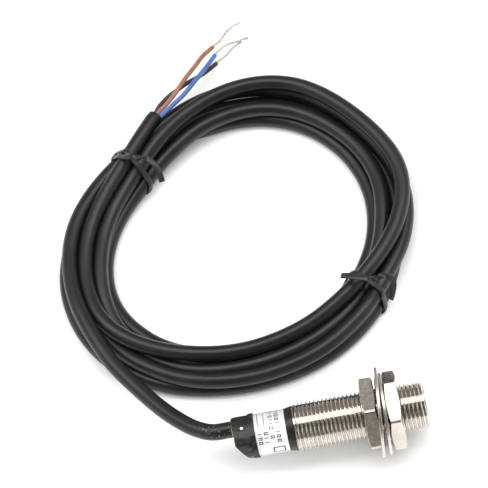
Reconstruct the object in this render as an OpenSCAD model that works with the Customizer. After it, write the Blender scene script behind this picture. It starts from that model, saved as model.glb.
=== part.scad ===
// Cylindrical M12 proximity sensor with two nuts, two lock washers and a coiled three-core cable.
// It lies on a flat surface at Z = 0 with its axis along X and its sensing face towards +X.

/* [Barrel] */
// Major diameter of the threaded barrel
thread_d = 12; // [10:0.5:16]
// Length of the threaded barrel
thread_l = 32; // [28:0.5:60]
// Inner diameter of the barrel
barrel_bore_d = 9.6; // [8.4:0.1:10]
// Chamfer at both ends of the thread
thread_chamfer = 0.6; // [0.2:0.1:0.8]

/* [Nuts and washers] */
// Width of the hexagon nuts across their flats
nut_af = 17; // [16:0.5:22]
// Thickness of each nut
nut_h = 3.4; // [2.5:0.1:5]
// Distance from the rear end of the thread to the rear nut
rear_nut_at = 16.8; // [10:0.1:18]
// Outer diameter of the rear lock washer
washer_d = 22; // [20:0.5:26]
// Outer diameter of the front lock washer
front_washer_d = 20; // [19:0.5:26]
// Thickness of each lock washer's ring
washer_t = 0.8; // [0.5:0.1:1.2]
// Radial width of a lock washer's ring
washer_ring_w = 2.6; // [2:0.1:3]
// Number of teeth inside each lock washer
tooth_count = 12; // [8:1:16]
// Angle that each tooth is twisted out of the ring
tooth_twist = 22; // [0:1:35]
// Gap between the two lock washers, where a bracket is clamped
bracket_gap = 0.5; // [0.5:0.1:6]

/* [Rear end] */
// Length of the collar seen between thread and label
collar_l = 2; // [1:0.1:4]
// Diameter of the collar behind the thread
collar_d = 11; // [10.4:0.1:11.6]
// Width of the label's sleeve along the sensor
label_l = 7.5; // [6:0.1:14]
// Diameter of the sleeve under the label
sleeve_d = 10; // [9.6:0.1:10.6]
// Wall of the rear sleeve
sleeve_wall = 0.8; // [0.5:0.1:1]
// Thickness of the label
label_t = 0.12; // [0.08:0.02:0.3]
// Length of the end cap behind the label
cap_l = 5.2; // [4:0.1:8]
// Diameter of the end cap's body
cap_d = 10.4; // [10.2:0.1:11]
// Diameter of the rim at the front of the end cap
cap_rim_d = 10.9; // [10.6:0.1:11.6]
// Length of the cable neck that stands out behind the cap
neck_l = 0.2; // [0.2:0.1:3]
// Turn of the cable hole about the axis, from the top towards +Y
cap_clock = 45; // [0:5:90]

/* [Sensing end] */
// Thickness of the plastic sensing face
face_t = 0.8; // [0.5:0.1:1.2]
// Length of the sensing cap's skirt
face_skirt_l = 7; // [6:0.5:10]
// Wall of the sensing cap's skirt
face_wall = 0.5; // [0.4:0.05:0.7]
// Gap between the ferrite pot core and the sensing cap's skirt
core_gap = 0.28; // [0.1:0.02:0.5]
// Length of the ferrite pot core
core_l = 3.8; // [3:0.1:5]

/* [Board] */
// Width of the circuit board
board_w = 7.4; // [5:0.1:7.6]
// Thickness of the circuit board
board_t = 0.8; // [0.6:0.1:1]

/* [Cable] */
// Diameter of the cable's jacket
cable_d = 4; // [3.5:0.1:4.4]
// Diameter of each insulated core
wire_d = 1.2; // [0.9:0.1:1.3]
// Diameter of each bare strand bundle
strand_d = 0.6; // [0.4:0.1:0.8]
// Height of the coil of cable
coil_h = 10; // [9:0.5:14]
// Thickness of the twist ties
tie_t = 1; // [0.8:0.1:1.4]
// Width of the twist ties
tie_w = 1.6; // [1:0.1:2.4]

/* [Hidden] */
$fn = 96;

fit = 0.05;                // radial clearance of what turns on the thread
seat = 0.02;               // radial clearance of what is glued in place
nip = 0.1;                 // axial gap between a nut and its washer
cut = 1;                   // how far a cutting tool runs past a face

// Places along the axis, measured from the rear end of the thread towards the sensing face
label_end = -collar_l;
cap_front = -collar_l - label_l;
cap_rear = cap_front - cap_l;
tail_end = cap_rear - neck_l;
origin_at = thread_l / 2 - 7.85;   // the origin, near the middle of the body
axis_h = max(washer_d, front_washer_d) / 2;
rear_washer_at = rear_nut_at + nut_h + nip;
front_washer_at = rear_washer_at + washer_t + bracket_gap;
front_nut_at = front_washer_at + washer_t + nip;

// The end cap
cap_rim_l = 1.3;           // length of the rim
cable_hole_d = cable_d + 2 * fit;
cable_off = (cap_d - cable_hole_d) / 2 - 0.55;   // the cable hole's offset from the axis
neck_d = cap_d - 2 * cable_off;
slant = 0.6;               // slope of the cap's cut-away side
cavity_d = sleeve_d - 2 * sleeve_wall;
cavity_l = 1.4;            // depth of the hollow in the cap's front
window_at = cap_front - 3; // where the light window shows
window_r = 0.35;
pocket_w = 1;              // width of the pocket that the LED reaches back into, below the window
led_r = cap_d / 2 - 1;     // how far the LED and its pocket lie from the axis

// The sensing end: skirt, ferrite pot core, bobbin and the two leads of its winding
skirt_d = barrel_bore_d - 2 * seat;
core_d = skirt_d - 2 * face_wall - 2 * core_gap;
core_wall = 0.7;
core_floor = 1;
core_slot_w = 1.2;         // slots in the floor for the leads
post_d = 2.6;
bobbin_gap = 0.1;
flange_t = 0.3;
hub_wall = 0.3;
bobbin_l = core_l - core_floor - 2 * bobbin_gap;
bobbin_d = core_d - 2 * core_wall - 2 * bobbin_gap;
hub_d = post_d + 2 * bobbin_gap + 2 * hub_wall;
winding_in = 0.15;         // how far the winding stays inside the flanges
lead_d = 0.2;
lead_y = core_d / 2 - 0.9;
lead_on_board = 1.2;       // how far the leads lie on the board

// The board lies just below the axis, with its parts on top
board_top = -0.2;
board_front = thread_l - face_t - core_l - 3;
board_rear = cap_front - cavity_l + 0.4;
board_l = board_front - board_rear;

// Parts on the board: where each one's middle lies, and its length, width and height
chip_at = board_front - 11;
chip = [4.9, 3.9, 1.4];
transistor_at = board_front - 22;
transistor = [4.4, 2.5, 1.4];
regulator_at = board_front - 16.6;
regulator = [2.9, 1.3, 1];
small_rows = [board_front - 6.6, board_front - 4.8, board_front - 3];
small_y = 1.4;
resistor = [0.8, 1.6, 0.45];
capacitor = [0.8, 1.6, 0.7];
tantalum = [3.2, 1.6, 1.5];
tantalum_y = -2.3;
chip_leg = [0.4, 0.9, 0.25];
chip_leg_pitch = 1.27;
transistor_leg = [0.4, 0.8, 0.25];
transistor_tab = [1.6, 0.8, 0.25];
transistor_pitch = 1.5;
regulator_leg = [0.4, 0.6, 0.2];
regulator_pitch = 0.95;
stand_off = 0.1;           // gap between a chip's body and the board

// Cores inside the sensor, about the cable's own centre
core_ring = 0.8;
core_turns = [0, 120, 240];
core_ends = [board_front - 25.4, board_front - 28.6, board_front - 27];
core_solder_r = 0.22;
cable_x = cable_off * cos(cap_clock);
cable_y = -cable_off * sin(cap_clock);

// The light: the LED's body, and its leads, which keep clear of the blue core
led_d = 0.8;
led_lead_d = 0.2;
led_leads_at = cap_front - cavity_l + 0.7;
led_over = 0.3;            // how far the LED's body runs past its leads
led_lead_y = min(0.3 * led_d, -cable_y - core_ring * sin(core_turns[1]) - wire_d / 2 - led_lead_d);

// The resin plug and the sleeve's spigot in the barrel
plug_l = 2.5;
plug_at = cap_front + 0.2;
spigot_l = 5;

// Nuts, chamfered on both faces and turned about the axis, and the lock washers' teeth
nut_corner_d = nut_af / cos(30);
nut_chamfer = 0.55;
nut_face_d = nut_af - 0.4;
nut_blank_d = nut_corner_d + 0.2;
rear_nut_turn = 22;
front_nut_turn = -16;
tooth_clear = 0.15;
tooth_share = 0.55;        // share of the circumference that the teeth take
tooth_t = 0.7 * washer_t;
tooth_root = 0.2;          // how far each tooth runs into the ring

// The coil: an oval ring, its two outlines worked out from the angle about its centre
coil_centre = [-15, 57.5];
oval_turn = 40;
function outer_r(a) = 45 + 3.4 * sin(a) + 3 * cos(2 * (a - oval_turn));
function inner_r(a) = 32.2 + 0.5 * sin(a) + 2 * cos(2 * (a - oval_turn));
function on_ring(a, r) = coil_centre + r * [cos(a), sin(a)];
coil_steps = 72;

// The ties cross the coil at these angles
tie_left_angle = 128;
tie_right_angle = 328;
tie_over = 0.5;            // how far a tie's loop stands off the coil at its sides
tie_slack = 0.3;           // how far its slot is wider than the tie on each side
knot_in = 3.4;             // from the loop's inner side to the middle of the knot
knot_d = 2.4;
knot_h = 1.6;

// Routes, as points from one end of each piece to the other
exit_point = [tail_end - origin_at, -cable_y, axis_h + cable_x];
lead_route = [exit_point, exit_point + [-3, 0, 0], [-29.8, 3.4, 12], [-33.4, 5.6, 10.8],
              [-36.9, 8.6, 9.6], [-40.2, 12.6, 8.6], [-43.4, 17, 8], [-46.2, 21.4, 7.8],
              [-48, 25.2, 7.8]];
brown_route = [[-28.8, 98.8, 8.4], [-27, 100.6, 8.8], [-25.2, 102.8, 8.8], [-22.3, 106.6, 8.6],
               [-19.2, 110.7, 7.8], [-16.8, 114.1, 6.8], [-13.8, 117, 6]];
blue_route = [[-26.6, 100.2, 7.6], [-25, 101.6, 7.6], [-23.2, 103, 7.6], [-20.8, 105.2, 7.4],
              [-18.3, 107.9, 7], [-16.1, 110.8, 6.4], [-13.6, 114.3, 5.6]];
black_route = [[-31, 99.6, 6.6], [-29.2, 102, 6.4], [-27.2, 103.8, 6.4], [-24.6, 105.8, 6.4],
               [-21.7, 107.4, 6.2], [-18.6, 109.2, 5.2], [-16.4, 110.6, 4.6], [-13.4, 112, 4]];
brown_tail = [[-13.8, 117, 6], [-11.8, 118.8, 5.5], [-9.9, 121.3, 5], [-8, 123.5, 4.5],
              [-5.5, 124.6, 4]];
blue_tail = [[-13.6, 114.3, 5.6], [-12.4, 115.9, 5.4], [-10.4, 117.4, 5], [-7.1, 118.4, 4.4],
             [-4, 119.3, 4]];
black_tail = [[-13.4, 112, 4], [-12, 113.2, 3.8], [-10.4, 114.6, 3.6], [-8.4, 116.6, 3.2],
              [-6, 118.2, 2.8]];

// Smooth curve through a list of points, with steps between each two
function pick(p, i) = p[max(0, min(len(p) - 1, i))];
function blend(a, b, c, d, t) = 0.5 * (2 * b + (c - a) * t + (2 * a - 5 * b + 4 * c - d) * t * t
                                       + (3 * b - a - 3 * c + d) * t * t * t);
function curve(p, steps) = [for (i = [0:len(p) - 2], k = [0:steps - 1])
                            blend(pick(p, i - 1), p[i], p[i + 1], pick(p, i + 2), k / steps),
                            p[len(p) - 1]];
function unit(v) = v / norm(v);
function along(p, i) = unit(pick(p, i + 1) - pick(p, i - 1));
// Two directions across the tube at each ring, carried on from ring to ring without a twist
function side_from(prev, dir) = unit(prev - (prev * dir) * dir);
function sides(p, i = 0, prev = [0, 0, 1]) =
    i == len(p) ? [] : let(s = side_from(prev, along(p, i))) concat([s], sides(p, i + 1, s));

module tube(route, d, steps = 1, n = 8) {
    path = curve(route, steps);
    side = sides(path);
    rings = len(path);
    pts = [for (i = [0:rings - 1], k = [0:n - 1])
           let(u = side[i], v = cross(along(path, i), side[i]), a = 360 * k / n)
           path[i] + d / 2 * (cos(a) * u + sin(a) * v)];
    walls = [for (i = [0:rings - 2], k = [0:n - 1])
             [i * n + k, (i + 1) * n + k, (i + 1) * n + (k + 1) % n, i * n + (k + 1) % n]];
    start = [[for (k = [0:n - 1]) k]];
    end = [[for (k = [n - 1:-1:0]) (rings - 1) * n + k]];
    polyhedron(points = pts, faces = concat(walls, start, end));
}

// Stand on the sensor's axis: Z runs forwards along it and X points up
module on_axis(at = 0) {
    translate([at - origin_at, 0, axis_h]) rotate([0, 90, 0]) rotate([0, 0, 180]) children();
}

// Turn from the top towards +Y about the axis
module clock(turn) {
    rotate([0, 0, -turn]) children();
}

module pipe(d_out, d_in, l) {
    difference() {
        cylinder(d = d_out, h = l);
        translate([0, 0, -cut]) cylinder(d = d_in, h = l + 2 * cut);
    }
}

module barrel() {
    color("silver") on_axis(0) difference() {
        union() {
            cylinder(d1 = thread_d - 2 * thread_chamfer, d2 = thread_d, h = thread_chamfer);
            translate([0, 0, thread_chamfer]) cylinder(d = thread_d, h = thread_l - 2 * thread_chamfer);
            translate([0, 0, thread_l - thread_chamfer])
                cylinder(d1 = thread_d, d2 = thread_d - 2 * thread_chamfer, h = thread_chamfer);
        }
        translate([0, 0, -cut]) cylinder(d = barrel_bore_d, h = thread_l + 2 * cut);
    }
}

module sensing_face() {
    color([0.12, 0.12, 0.13]) on_axis(thread_l - face_skirt_l) difference() {
        cylinder(d = skirt_d, h = face_skirt_l);
        translate([0, 0, -cut]) cylinder(d = skirt_d - 2 * face_wall, h = face_skirt_l - face_t + cut);
    }
}

module ferrite_core() {
    color([0.25, 0.23, 0.22]) on_axis(thread_l - face_t - core_l) {
        difference() {
            cylinder(d = core_d, h = core_l);
            translate([0, 0, core_floor]) pipe(core_d - 2 * core_wall, post_d, core_l);
            for (side = [-1, 1]) translate([0, side * core_d / 2, core_floor / 2])
                cube([core_slot_w, 2 * (core_wall + 0.3), core_floor + 2 * cut], center = true);
        }
    }
}

module coil_bobbin() {
    color("ivory") on_axis(thread_l - face_t - bobbin_gap - bobbin_l) difference() {
        union() {
            cylinder(d = hub_d, h = bobbin_l);
            cylinder(d = bobbin_d, h = flange_t);
            translate([0, 0, bobbin_l - flange_t]) cylinder(d = bobbin_d, h = flange_t);
        }
        translate([0, 0, -cut]) cylinder(d = post_d + 2 * bobbin_gap, h = bobbin_l + 2 * cut);
    }
}

module coil_winding() {
    color([0.72, 0.36, 0.16]) on_axis(thread_l - face_t - bobbin_gap - bobbin_l + flange_t)
        pipe(bobbin_d - 2 * winding_in, hub_d, bobbin_l - 2 * flange_t);
}

module coil_leads() {
    lead_from = board_front - lead_on_board;
    lead_l = thread_l - face_t - core_l + core_floor / 2 - lead_from;
    color([0.72, 0.36, 0.16]) for (side = [-1, 1]) on_axis(lead_from)
        translate([board_top + lead_d / 2, side * lead_y, 0]) cylinder(d = lead_d, h = lead_l);
}

module circuit_board() {
    color([0.05, 0.35, 0.2]) on_axis(board_rear)
        translate([board_top - board_t, -board_w / 2, 0]) cube([board_t, board_w, board_l]);
}

// A part on the board: its middle, its size, its place across the board and its height over it
module on_board(middle, size, y = 0, over = 0) {
    on_axis(middle) translate([board_top + over, y - size[1] / 2, -size[0] / 2])
        cube([size[2], size[1], size[0]]);
}

module oscillator_chip() {
    color([0.08, 0.08, 0.08]) {
        on_board(chip_at, chip, 0, stand_off);
        for (k = [-1.5:1:1.5], side = [-1, 1])
            on_board(chip_at + k * chip_leg_pitch, chip_leg, side * (chip[1] + chip_leg[1] / 2) / 2);
    }
}

module output_transistor() {
    leg_y = (transistor[1] + transistor_leg[1] / 2) / 2;
    color([0.1, 0.1, 0.1]) {
        on_board(transistor_at, transistor, 0, stand_off);
        for (k = [-1:1]) on_board(transistor_at + k * transistor_pitch, transistor_leg, leg_y);
        on_board(transistor_at, transistor_tab, -leg_y);
    }
}

module voltage_regulator() {
    leg_y = (regulator[1] + regulator_leg[1] / 2) / 2;
    color([0.1, 0.1, 0.1]) {
        on_board(regulator_at, regulator, 0, stand_off);
        for (k = [-1, 1]) on_board(regulator_at + k * regulator_pitch, regulator_leg, leg_y);
        on_board(regulator_at, regulator_leg, -leg_y);
    }
}

module chip_resistors() {
    color([0.15, 0.15, 0.16]) for (at = small_rows) on_board(at, resistor, small_y);
}

module chip_capacitors() {
    color([0.62, 0.48, 0.32]) for (at = small_rows) on_board(at, capacitor, -small_y);
}

module tantalum_capacitor() {
    color([0.85, 0.6, 0.15]) on_board(regulator_at, tantalum, tantalum_y);
}

module indicator_led() {
    color([0.9, 0.2, 0.15]) {
        on_axis(window_at - window_r) translate([led_r, 0, 0])
            cylinder(d = led_d, h = led_leads_at + led_over - window_at + window_r);
        for (side = [-1, 1]) on_axis(led_leads_at) translate([board_top, side * led_lead_y, 0])
            rotate([0, 90, 0]) cylinder(d = led_lead_d, h = led_r - board_top);
    }
}

module light_window() {
    color("white") on_axis(window_at) translate([led_r + pocket_w / 2, 0, 0]) rotate([0, 90, 0])
        cylinder(r = window_r, h = (cap_d - pocket_w) / 2 + fit - led_r);
}

module potting_plug() {
    color([0.18, 0.16, 0.14]) on_axis(plug_at) difference() {
        cylinder(d = cavity_d - 2 * seat, h = plug_l);
        translate([board_top - board_t - seat, -board_w / 2 - seat, -cut])
            cube([board_t + 2 * seat, board_w + 2 * seat, plug_l + 2 * cut]);
        for (turn = core_turns) translate([cable_x, cable_y, -cut]) rotate([0, 0, turn])
            translate([core_ring, 0, 0]) cylinder(d = wire_d + 2 * seat, h = plug_l + 2 * cut);
    }
}

module rear_sleeve() {
    color([0.07, 0.07, 0.07]) difference() {
        union() {
            on_axis(cap_front) cylinder(d = sleeve_d, h = label_l);
            on_axis(label_end) cylinder(d1 = sleeve_d + 0.2, d2 = collar_d, h = collar_l);
            on_axis(0) cylinder(d = barrel_bore_d - 2 * seat, h = spigot_l);
        }
        on_axis(cap_front - cut) cylinder(d = cavity_d, h = label_l + collar_l + spigot_l + 2 * cut);
    }
}

module end_cap() {
    color([0.07, 0.07, 0.07]) difference() {
        union() {
            on_axis(cap_rear) cylinder(d = cap_d, h = cap_l);
            on_axis(cap_front - cap_rim_l) cylinder(d = cap_rim_d, h = cap_rim_l);
            on_axis(tail_end) clock(cap_clock) translate([cable_off, 0, 0])
                cylinder(d = neck_d, h = neck_l + cap_l / 2);
        }
        // the side away from the cable is cut away at a slant
        on_axis(cap_rear) clock(cap_clock) rotate([90, 0, 0]) linear_extrude(4 * cap_d, center = true)
            polygon([[0, 0], [0, -2 * neck_l], [-cap_d, -2 * neck_l], [-cap_d, slant * cap_d]]);
        on_axis(cap_front - cavity_l) cylinder(d = cavity_d, h = cavity_l + cut);
        on_axis(tail_end - cut) clock(cap_clock) translate([cable_off, 0, 0])
            cylinder(d = cable_hole_d, h = neck_l + cap_l + 2 * cut);
        on_axis(window_at - pocket_w / 2) translate([led_r - pocket_w / 2, -pocket_w / 2, 0])
            cube([pocket_w, pocket_w, cap_l]);
        on_axis(window_at) translate([led_r, 0, 0]) rotate([0, 90, 0])
            cylinder(r = window_r, h = cap_d);
    }
}

module rating_label() {
    color([0.85, 0.86, 0.88]) on_axis(cap_front) pipe(sleeve_d + 2 * label_t, sleeve_d, label_l);
}

// The jacket's end inside the cap, with the three cores running out of it
module cable_stub() {
    color([0.04, 0.04, 0.04]) on_axis(tail_end) clock(cap_clock) translate([cable_off, 0, 0])
        cylinder(d = cable_d, h = cap_front - cavity_l - tail_end);
}

module inner_core(i) {
    from = cap_front - cavity_l;
    core_l = core_ends[i] - from;
    x = cable_x + core_ring * cos(core_turns[i]);
    y = cable_y + core_ring * sin(core_turns[i]);
    on_axis(from) translate([x, y, 0]) cylinder(d = wire_d, h = core_l);
    on_axis(from + core_l - core_solder_r) translate([board_top, y, 0]) rotate([0, 90, 0])
        cylinder(r = core_solder_r, h = x - board_top);
}

module core_brown() { color([0.45, 0.22, 0.1]) inner_core(0); }
module core_blue() { color([0.1, 0.3, 0.7]) inner_core(1); }
module core_black() { color([0.05, 0.05, 0.05]) inner_core(2); }

// A hexagon nut with both faces turned down to a round edge
module hex_nut(turn) {
    difference() {
        intersection() {
            rotate([0, 0, turn]) cylinder(d = nut_corner_d, h = nut_h, $fn = 6);
            union() {
                cylinder(d1 = nut_face_d, d2 = nut_blank_d, h = nut_chamfer);
                translate([0, 0, nut_chamfer]) cylinder(d = nut_blank_d, h = nut_h - 2 * nut_chamfer);
                translate([0, 0, nut_h - nut_chamfer])
                    cylinder(d1 = nut_blank_d, d2 = nut_face_d, h = nut_chamfer);
            }
        }
        translate([0, 0, -cut]) cylinder(d = thread_d + 2 * fit, h = nut_h + 2 * cut);
    }
}

module rear_nut() {
    color([0.7, 0.68, 0.64]) on_axis(rear_nut_at) hex_nut(rear_nut_turn);
}

module front_nut() {
    color([0.7, 0.68, 0.64]) on_axis(front_nut_at) hex_nut(front_nut_turn);
}

// A lock washer: a flat ring with twisted teeth that reach in to the thread
module lock_washer(d) {
    ring_in = d - 2 * washer_ring_w;
    tooth_in = thread_d + 2 * tooth_clear;
    tooth_l = (ring_in - tooth_in) / 2 + 3 * tooth_root;
    tooth_w = tooth_share * PI * ring_in / tooth_count;
    pipe(d, ring_in, washer_t);
    intersection() {
        pipe(ring_in + 2 * tooth_root, tooth_in, washer_t);
        for (k = [0:tooth_count - 1]) rotate([0, 0, 360 * k / tooth_count])
            translate([tooth_in / 2 - tooth_root + tooth_l / 2, 0, washer_t / 2])
                rotate([tooth_twist, 0, 0]) cube([tooth_l, tooth_w, tooth_t], center = true);
    }
}

module rear_lock_washer() {
    color([0.75, 0.73, 0.7]) on_axis(rear_washer_at) lock_washer(washer_d);
}

module front_lock_washer() {
    color([0.75, 0.73, 0.7]) on_axis(front_washer_at) lock_washer(front_washer_d);
}

module cable_lead() {
    color([0.04, 0.04, 0.04]) tube(lead_route, cable_d, 1, 10);
}

// A slot under the coil where a tie passes
module tie_slot(a) {
    from = inner_r(a) - cut;
    w = tie_w + 2 * tie_slack;
    translate(concat(coil_centre, 0)) rotate([0, 0, a]) translate([from, -w / 2, -cut])
        cube([outer_r(a) + cut - from, w, tie_t + cut]);
}

module cable_coil() {
    color([0.04, 0.04, 0.04]) difference() {
        linear_extrude(coil_h) difference() {
            polygon([for (k = [0:coil_steps - 1]) let(a = 360 * k / coil_steps) on_ring(a, outer_r(a))]);
            polygon([for (k = [0:coil_steps - 1]) let(a = 360 * k / coil_steps) on_ring(a, inner_r(a))]);
        }
        tie_slot(tie_left_angle);
        tie_slot(tie_right_angle);
    }
}

module wire_brown() { color([0.45, 0.22, 0.1]) tube(brown_route, wire_d); }
module wire_blue() { color([0.1, 0.3, 0.7]) tube(blue_route, wire_d); }
module wire_black() { color([0.05, 0.05, 0.05]) tube(black_route, wire_d); }
module strand_brown() { color([0.8, 0.8, 0.8]) tube(brown_tail, strand_d); }
module strand_blue() { color([0.8, 0.8, 0.8]) tube(blue_tail, strand_d); }
module strand_black() { color([0.8, 0.8, 0.8]) tube(black_tail, strand_d); }

// A twist tie: a loop round the coil, a knot on top and two free tails
module tie(a, tails) {
    from = inner_r(a) - tie_over - tie_t;
    to = outer_r(a) + tie_over + tie_t;
    loop_h = coil_h + 2 * tie_t;
    color([0.05, 0.05, 0.05]) translate(concat(coil_centre, 0)) rotate([0, 0, a]) {
        difference() {
            translate([from, -tie_w / 2, 0]) cube([to - from, tie_w, loop_h - tie_t]);
            translate([from + tie_t, -tie_w, tie_t])
                cube([to - from - 2 * tie_t, 2 * tie_w, coil_h - tie_t]);
        }
        translate([from + knot_in, 0, coil_h + tie_t]) {
            cylinder(d = knot_d, h = knot_h);
            for (t = tails) rotate([0, 0, t[0]]) translate([0, -tie_w / 2, 0]) cube([t[1], tie_w, tie_t]);
        }
    }
}

module tie_left() { tie(tie_left_angle, [[150, 7], [60, 6]]); }
module tie_right() { tie(tie_right_angle, [[185, 7], [-60, 6]]); }

barrel();
sensing_face();
ferrite_core();
coil_bobbin();
coil_winding();
coil_leads();
circuit_board();
oscillator_chip();
output_transistor();
voltage_regulator();
chip_resistors();
chip_capacitors();
tantalum_capacitor();
indicator_led();
light_window();
potting_plug();
rear_sleeve();
end_cap();
rating_label();
cable_stub();
core_brown();
core_blue();
core_black();
rear_nut();
front_nut();
rear_lock_washer();
front_lock_washer();
cable_lead();
cable_coil();
wire_brown();
wire_blue();
wire_black();
strand_brown();
strand_blue();
strand_black();
tie_left();
tie_right();
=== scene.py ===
"""A cylindrical proximity sensor with its coiled cable, given its real looks.

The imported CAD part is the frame: every place comes from it, in metres, with +X along the
sensor towards its sensing face and z = 0 on the table. The barrel gets its real thread, the
nuts their chamfers, the lock washers their twisted teeth, and the cable its five turns.
"""

import logging
import math
from dataclasses import dataclass
from enum import Enum

import bmesh
import bpy
import numpy as np
from mathutils import Matrix, Vector


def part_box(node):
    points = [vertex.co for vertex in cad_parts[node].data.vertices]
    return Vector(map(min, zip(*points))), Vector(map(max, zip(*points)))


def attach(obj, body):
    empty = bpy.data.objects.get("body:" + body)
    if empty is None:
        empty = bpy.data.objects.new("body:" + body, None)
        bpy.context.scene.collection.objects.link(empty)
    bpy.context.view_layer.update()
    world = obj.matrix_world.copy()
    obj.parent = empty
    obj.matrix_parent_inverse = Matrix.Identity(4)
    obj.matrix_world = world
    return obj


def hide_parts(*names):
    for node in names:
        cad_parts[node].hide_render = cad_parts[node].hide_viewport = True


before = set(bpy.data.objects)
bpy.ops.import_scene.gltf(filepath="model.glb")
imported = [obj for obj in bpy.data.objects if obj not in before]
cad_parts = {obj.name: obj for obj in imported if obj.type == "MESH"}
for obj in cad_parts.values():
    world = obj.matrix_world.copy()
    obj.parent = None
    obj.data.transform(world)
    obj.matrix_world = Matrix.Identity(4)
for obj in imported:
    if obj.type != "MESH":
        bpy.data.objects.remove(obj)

LOG = logging.getLogger("sensor")
MM = 0.001
Colour = tuple[float, float, float]
Point = tuple[float, float, float]
Socket = bpy.types.NodeSocket
Mesh = bpy.types.Mesh
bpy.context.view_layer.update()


# ---------------------------------------------------------------- meshes


def smooth_line(points: np.ndarray, count: int) -> np.ndarray:
    """A smooth line through the points, a Catmull-Rom curve respaced evenly.

    Args:
        points: the points it passes through, n x 3.
        count: how many points the line has.

    Returns:
        The line's points, count x 3.
    """
    p = np.asarray(points, float)
    ext = np.vstack([2 * p[0] - p[1], p, 2 * p[-1] - p[-2]])
    t = np.linspace(0, 1, 12, endpoint=False)[None, :, None]
    a, b, c, d = (ext[i : len(ext) - 3 + i][:, None, :] for i in range(4))
    bends = 2 * a - 5 * b + 4 * c - d
    curve = 0.5 * (2 * b + (c - a) * t + bends * t**2 + (3 * b - a - 3 * c + d) * t**3)
    return respaced(np.vstack([curve.reshape(-1, 3), p[-1]]), count)


def along(line: np.ndarray) -> np.ndarray:
    """How far along the line each of its points lies."""
    steps = np.linalg.norm(np.diff(line, axis=0), axis=1)
    return np.concatenate([[0.0], np.cumsum(steps)])


def respaced(line: np.ndarray, count: int) -> np.ndarray:
    """The same line with count evenly spaced points."""
    s = along(line)
    at = np.linspace(0, s[-1], count)
    return np.stack([np.interp(at, s, line[:, k]) for k in range(3)], axis=1)


def carried_frames(line: np.ndarray, up: Point = (0.0, 0.0, 1.0)) -> tuple[np.ndarray, np.ndarray]:
    """Two directions across a line at each point, kept level with an up direction.

    Args:
        line: the line's points, n x 3.
        up: the direction that the second one leans to.

    Returns:
        The direction to the side and the one upwards, each n x 3 and of length one.
    """
    tangent = np.gradient(line, axis=0)
    tangent /= np.linalg.norm(tangent, axis=1)[:, None]
    side = np.cross(tangent, np.asarray(up, float))
    side /= np.maximum(np.linalg.norm(side, axis=1), 1e-9)[:, None]
    return side, np.cross(side, tangent)


def surface(
    name: str, points: np.ndarray, close_rows: bool = False, close_ends: bool = True,
    sharp: float = 40.0, across: float = 1.0
) -> Mesh:
    """A mesh over a grid of points: rows follow one parameter, and each row is a closed ring.

    A UV map holds how far round the ring (0 to across) and how far along the rows (in mm) each
    corner lies.

    Args:
        name: the mesh's name.
        points: rows x columns x 3, in metres.
        close_rows: the last row joins the first, as in a torus.
        close_ends: the first and last rings are filled, for a solid that is open there.
        sharp: the angle between faces past which an edge stays sharp, in degrees.
        across: the UV map's width of one ring.

    Returns:
        The closed mesh, with its faces outwards.
    """
    rows, cols = points.shape[:2]
    verts = points.reshape(-1, 3)
    last = rows if close_rows else rows - 1
    i, j = (g.ravel() for g in np.meshgrid(np.arange(last), np.arange(cols), indexing="ij"))
    i2, j2 = (i + 1) % rows, (j + 1) % cols
    quads = np.stack([i * cols + j, i * cols + j2, i2 * cols + j2, i2 * cols + j], axis=1)
    v = along(points.mean(axis=1)) / MM
    v = np.append(v, v[-1]) if close_rows else v
    if np.ptp(v) < 1e-6:
        v = np.arange(len(v), dtype=float)
    u0, u1 = j * across / cols, (j + 1) * across / cols
    uv = np.stack([np.stack([u0, u1, u1, u0], 1), np.stack([v[i], v[i], v[i + 1], v[i + 1]], 1)], 2)
    faces = quads.tolist()
    uv = uv.reshape(-1, 2)
    if close_ends and not close_rows:
        faces += [list(range(cols))[::-1], [(rows - 1) * cols + k for k in range(cols)]]
        uv = np.vstack([uv, np.full((cols, 2), (0.0, v[0])), np.full((cols, 2), (0.0, v[-1]))])
    p, q, r, s = (verts[quads[:, k]] for k in range(4))
    volume = (p * np.cross(q, r)).sum() + (p * np.cross(r, s)).sum()
    mesh = bpy.data.meshes.new(name)
    mesh.from_pydata(verts.tolist(), [], faces)
    layer = mesh.uv_layers.new(name="along")
    layer.data.foreach_set("uv", uv.astype(np.float32).ravel())
    if volume < 0:
        mesh.flip_normals()
    finish_mesh(mesh, sharp)
    return mesh


def finish_mesh(mesh: Mesh, sharp: float) -> None:
    """Shades a mesh smooth with its sharp edges kept, and lays what would sink on the table."""
    places = np.empty(len(mesh.vertices) * 3)
    mesh.vertices.foreach_get("co", places)
    places[2::3] = np.maximum(places[2::3], 0.0)
    mesh.vertices.foreach_set("co", places)
    mesh.polygons.foreach_set("use_smooth", np.ones(len(mesh.polygons), bool))
    mesh.set_sharp_from_angle(angle=math.radians(sharp))
    mesh.update()


def tube(name: str, line: np.ndarray, radius: np.ndarray | float, sides: int = 24) -> Mesh:
    """A round tube carried along a line, with flat filled ends.

    Args:
        name: the mesh's name.
        line: the middle of the tube, n x 3.
        radius: its radius, or one for each point and side.
        sides: how many points each ring has.

    Returns:
        The closed tube.
    """
    side, up = carried_frames(line)
    a = np.linspace(0, 2 * math.pi, sides, endpoint=False)
    r = np.broadcast_to(np.asarray(radius, float), (len(line), sides))
    ring = side[:, None, :] * np.cos(a)[None, :, None] + up[:, None, :] * np.sin(a)[None, :, None]
    return surface(name, line[:, None, :] + r[..., None] * ring)


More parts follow.
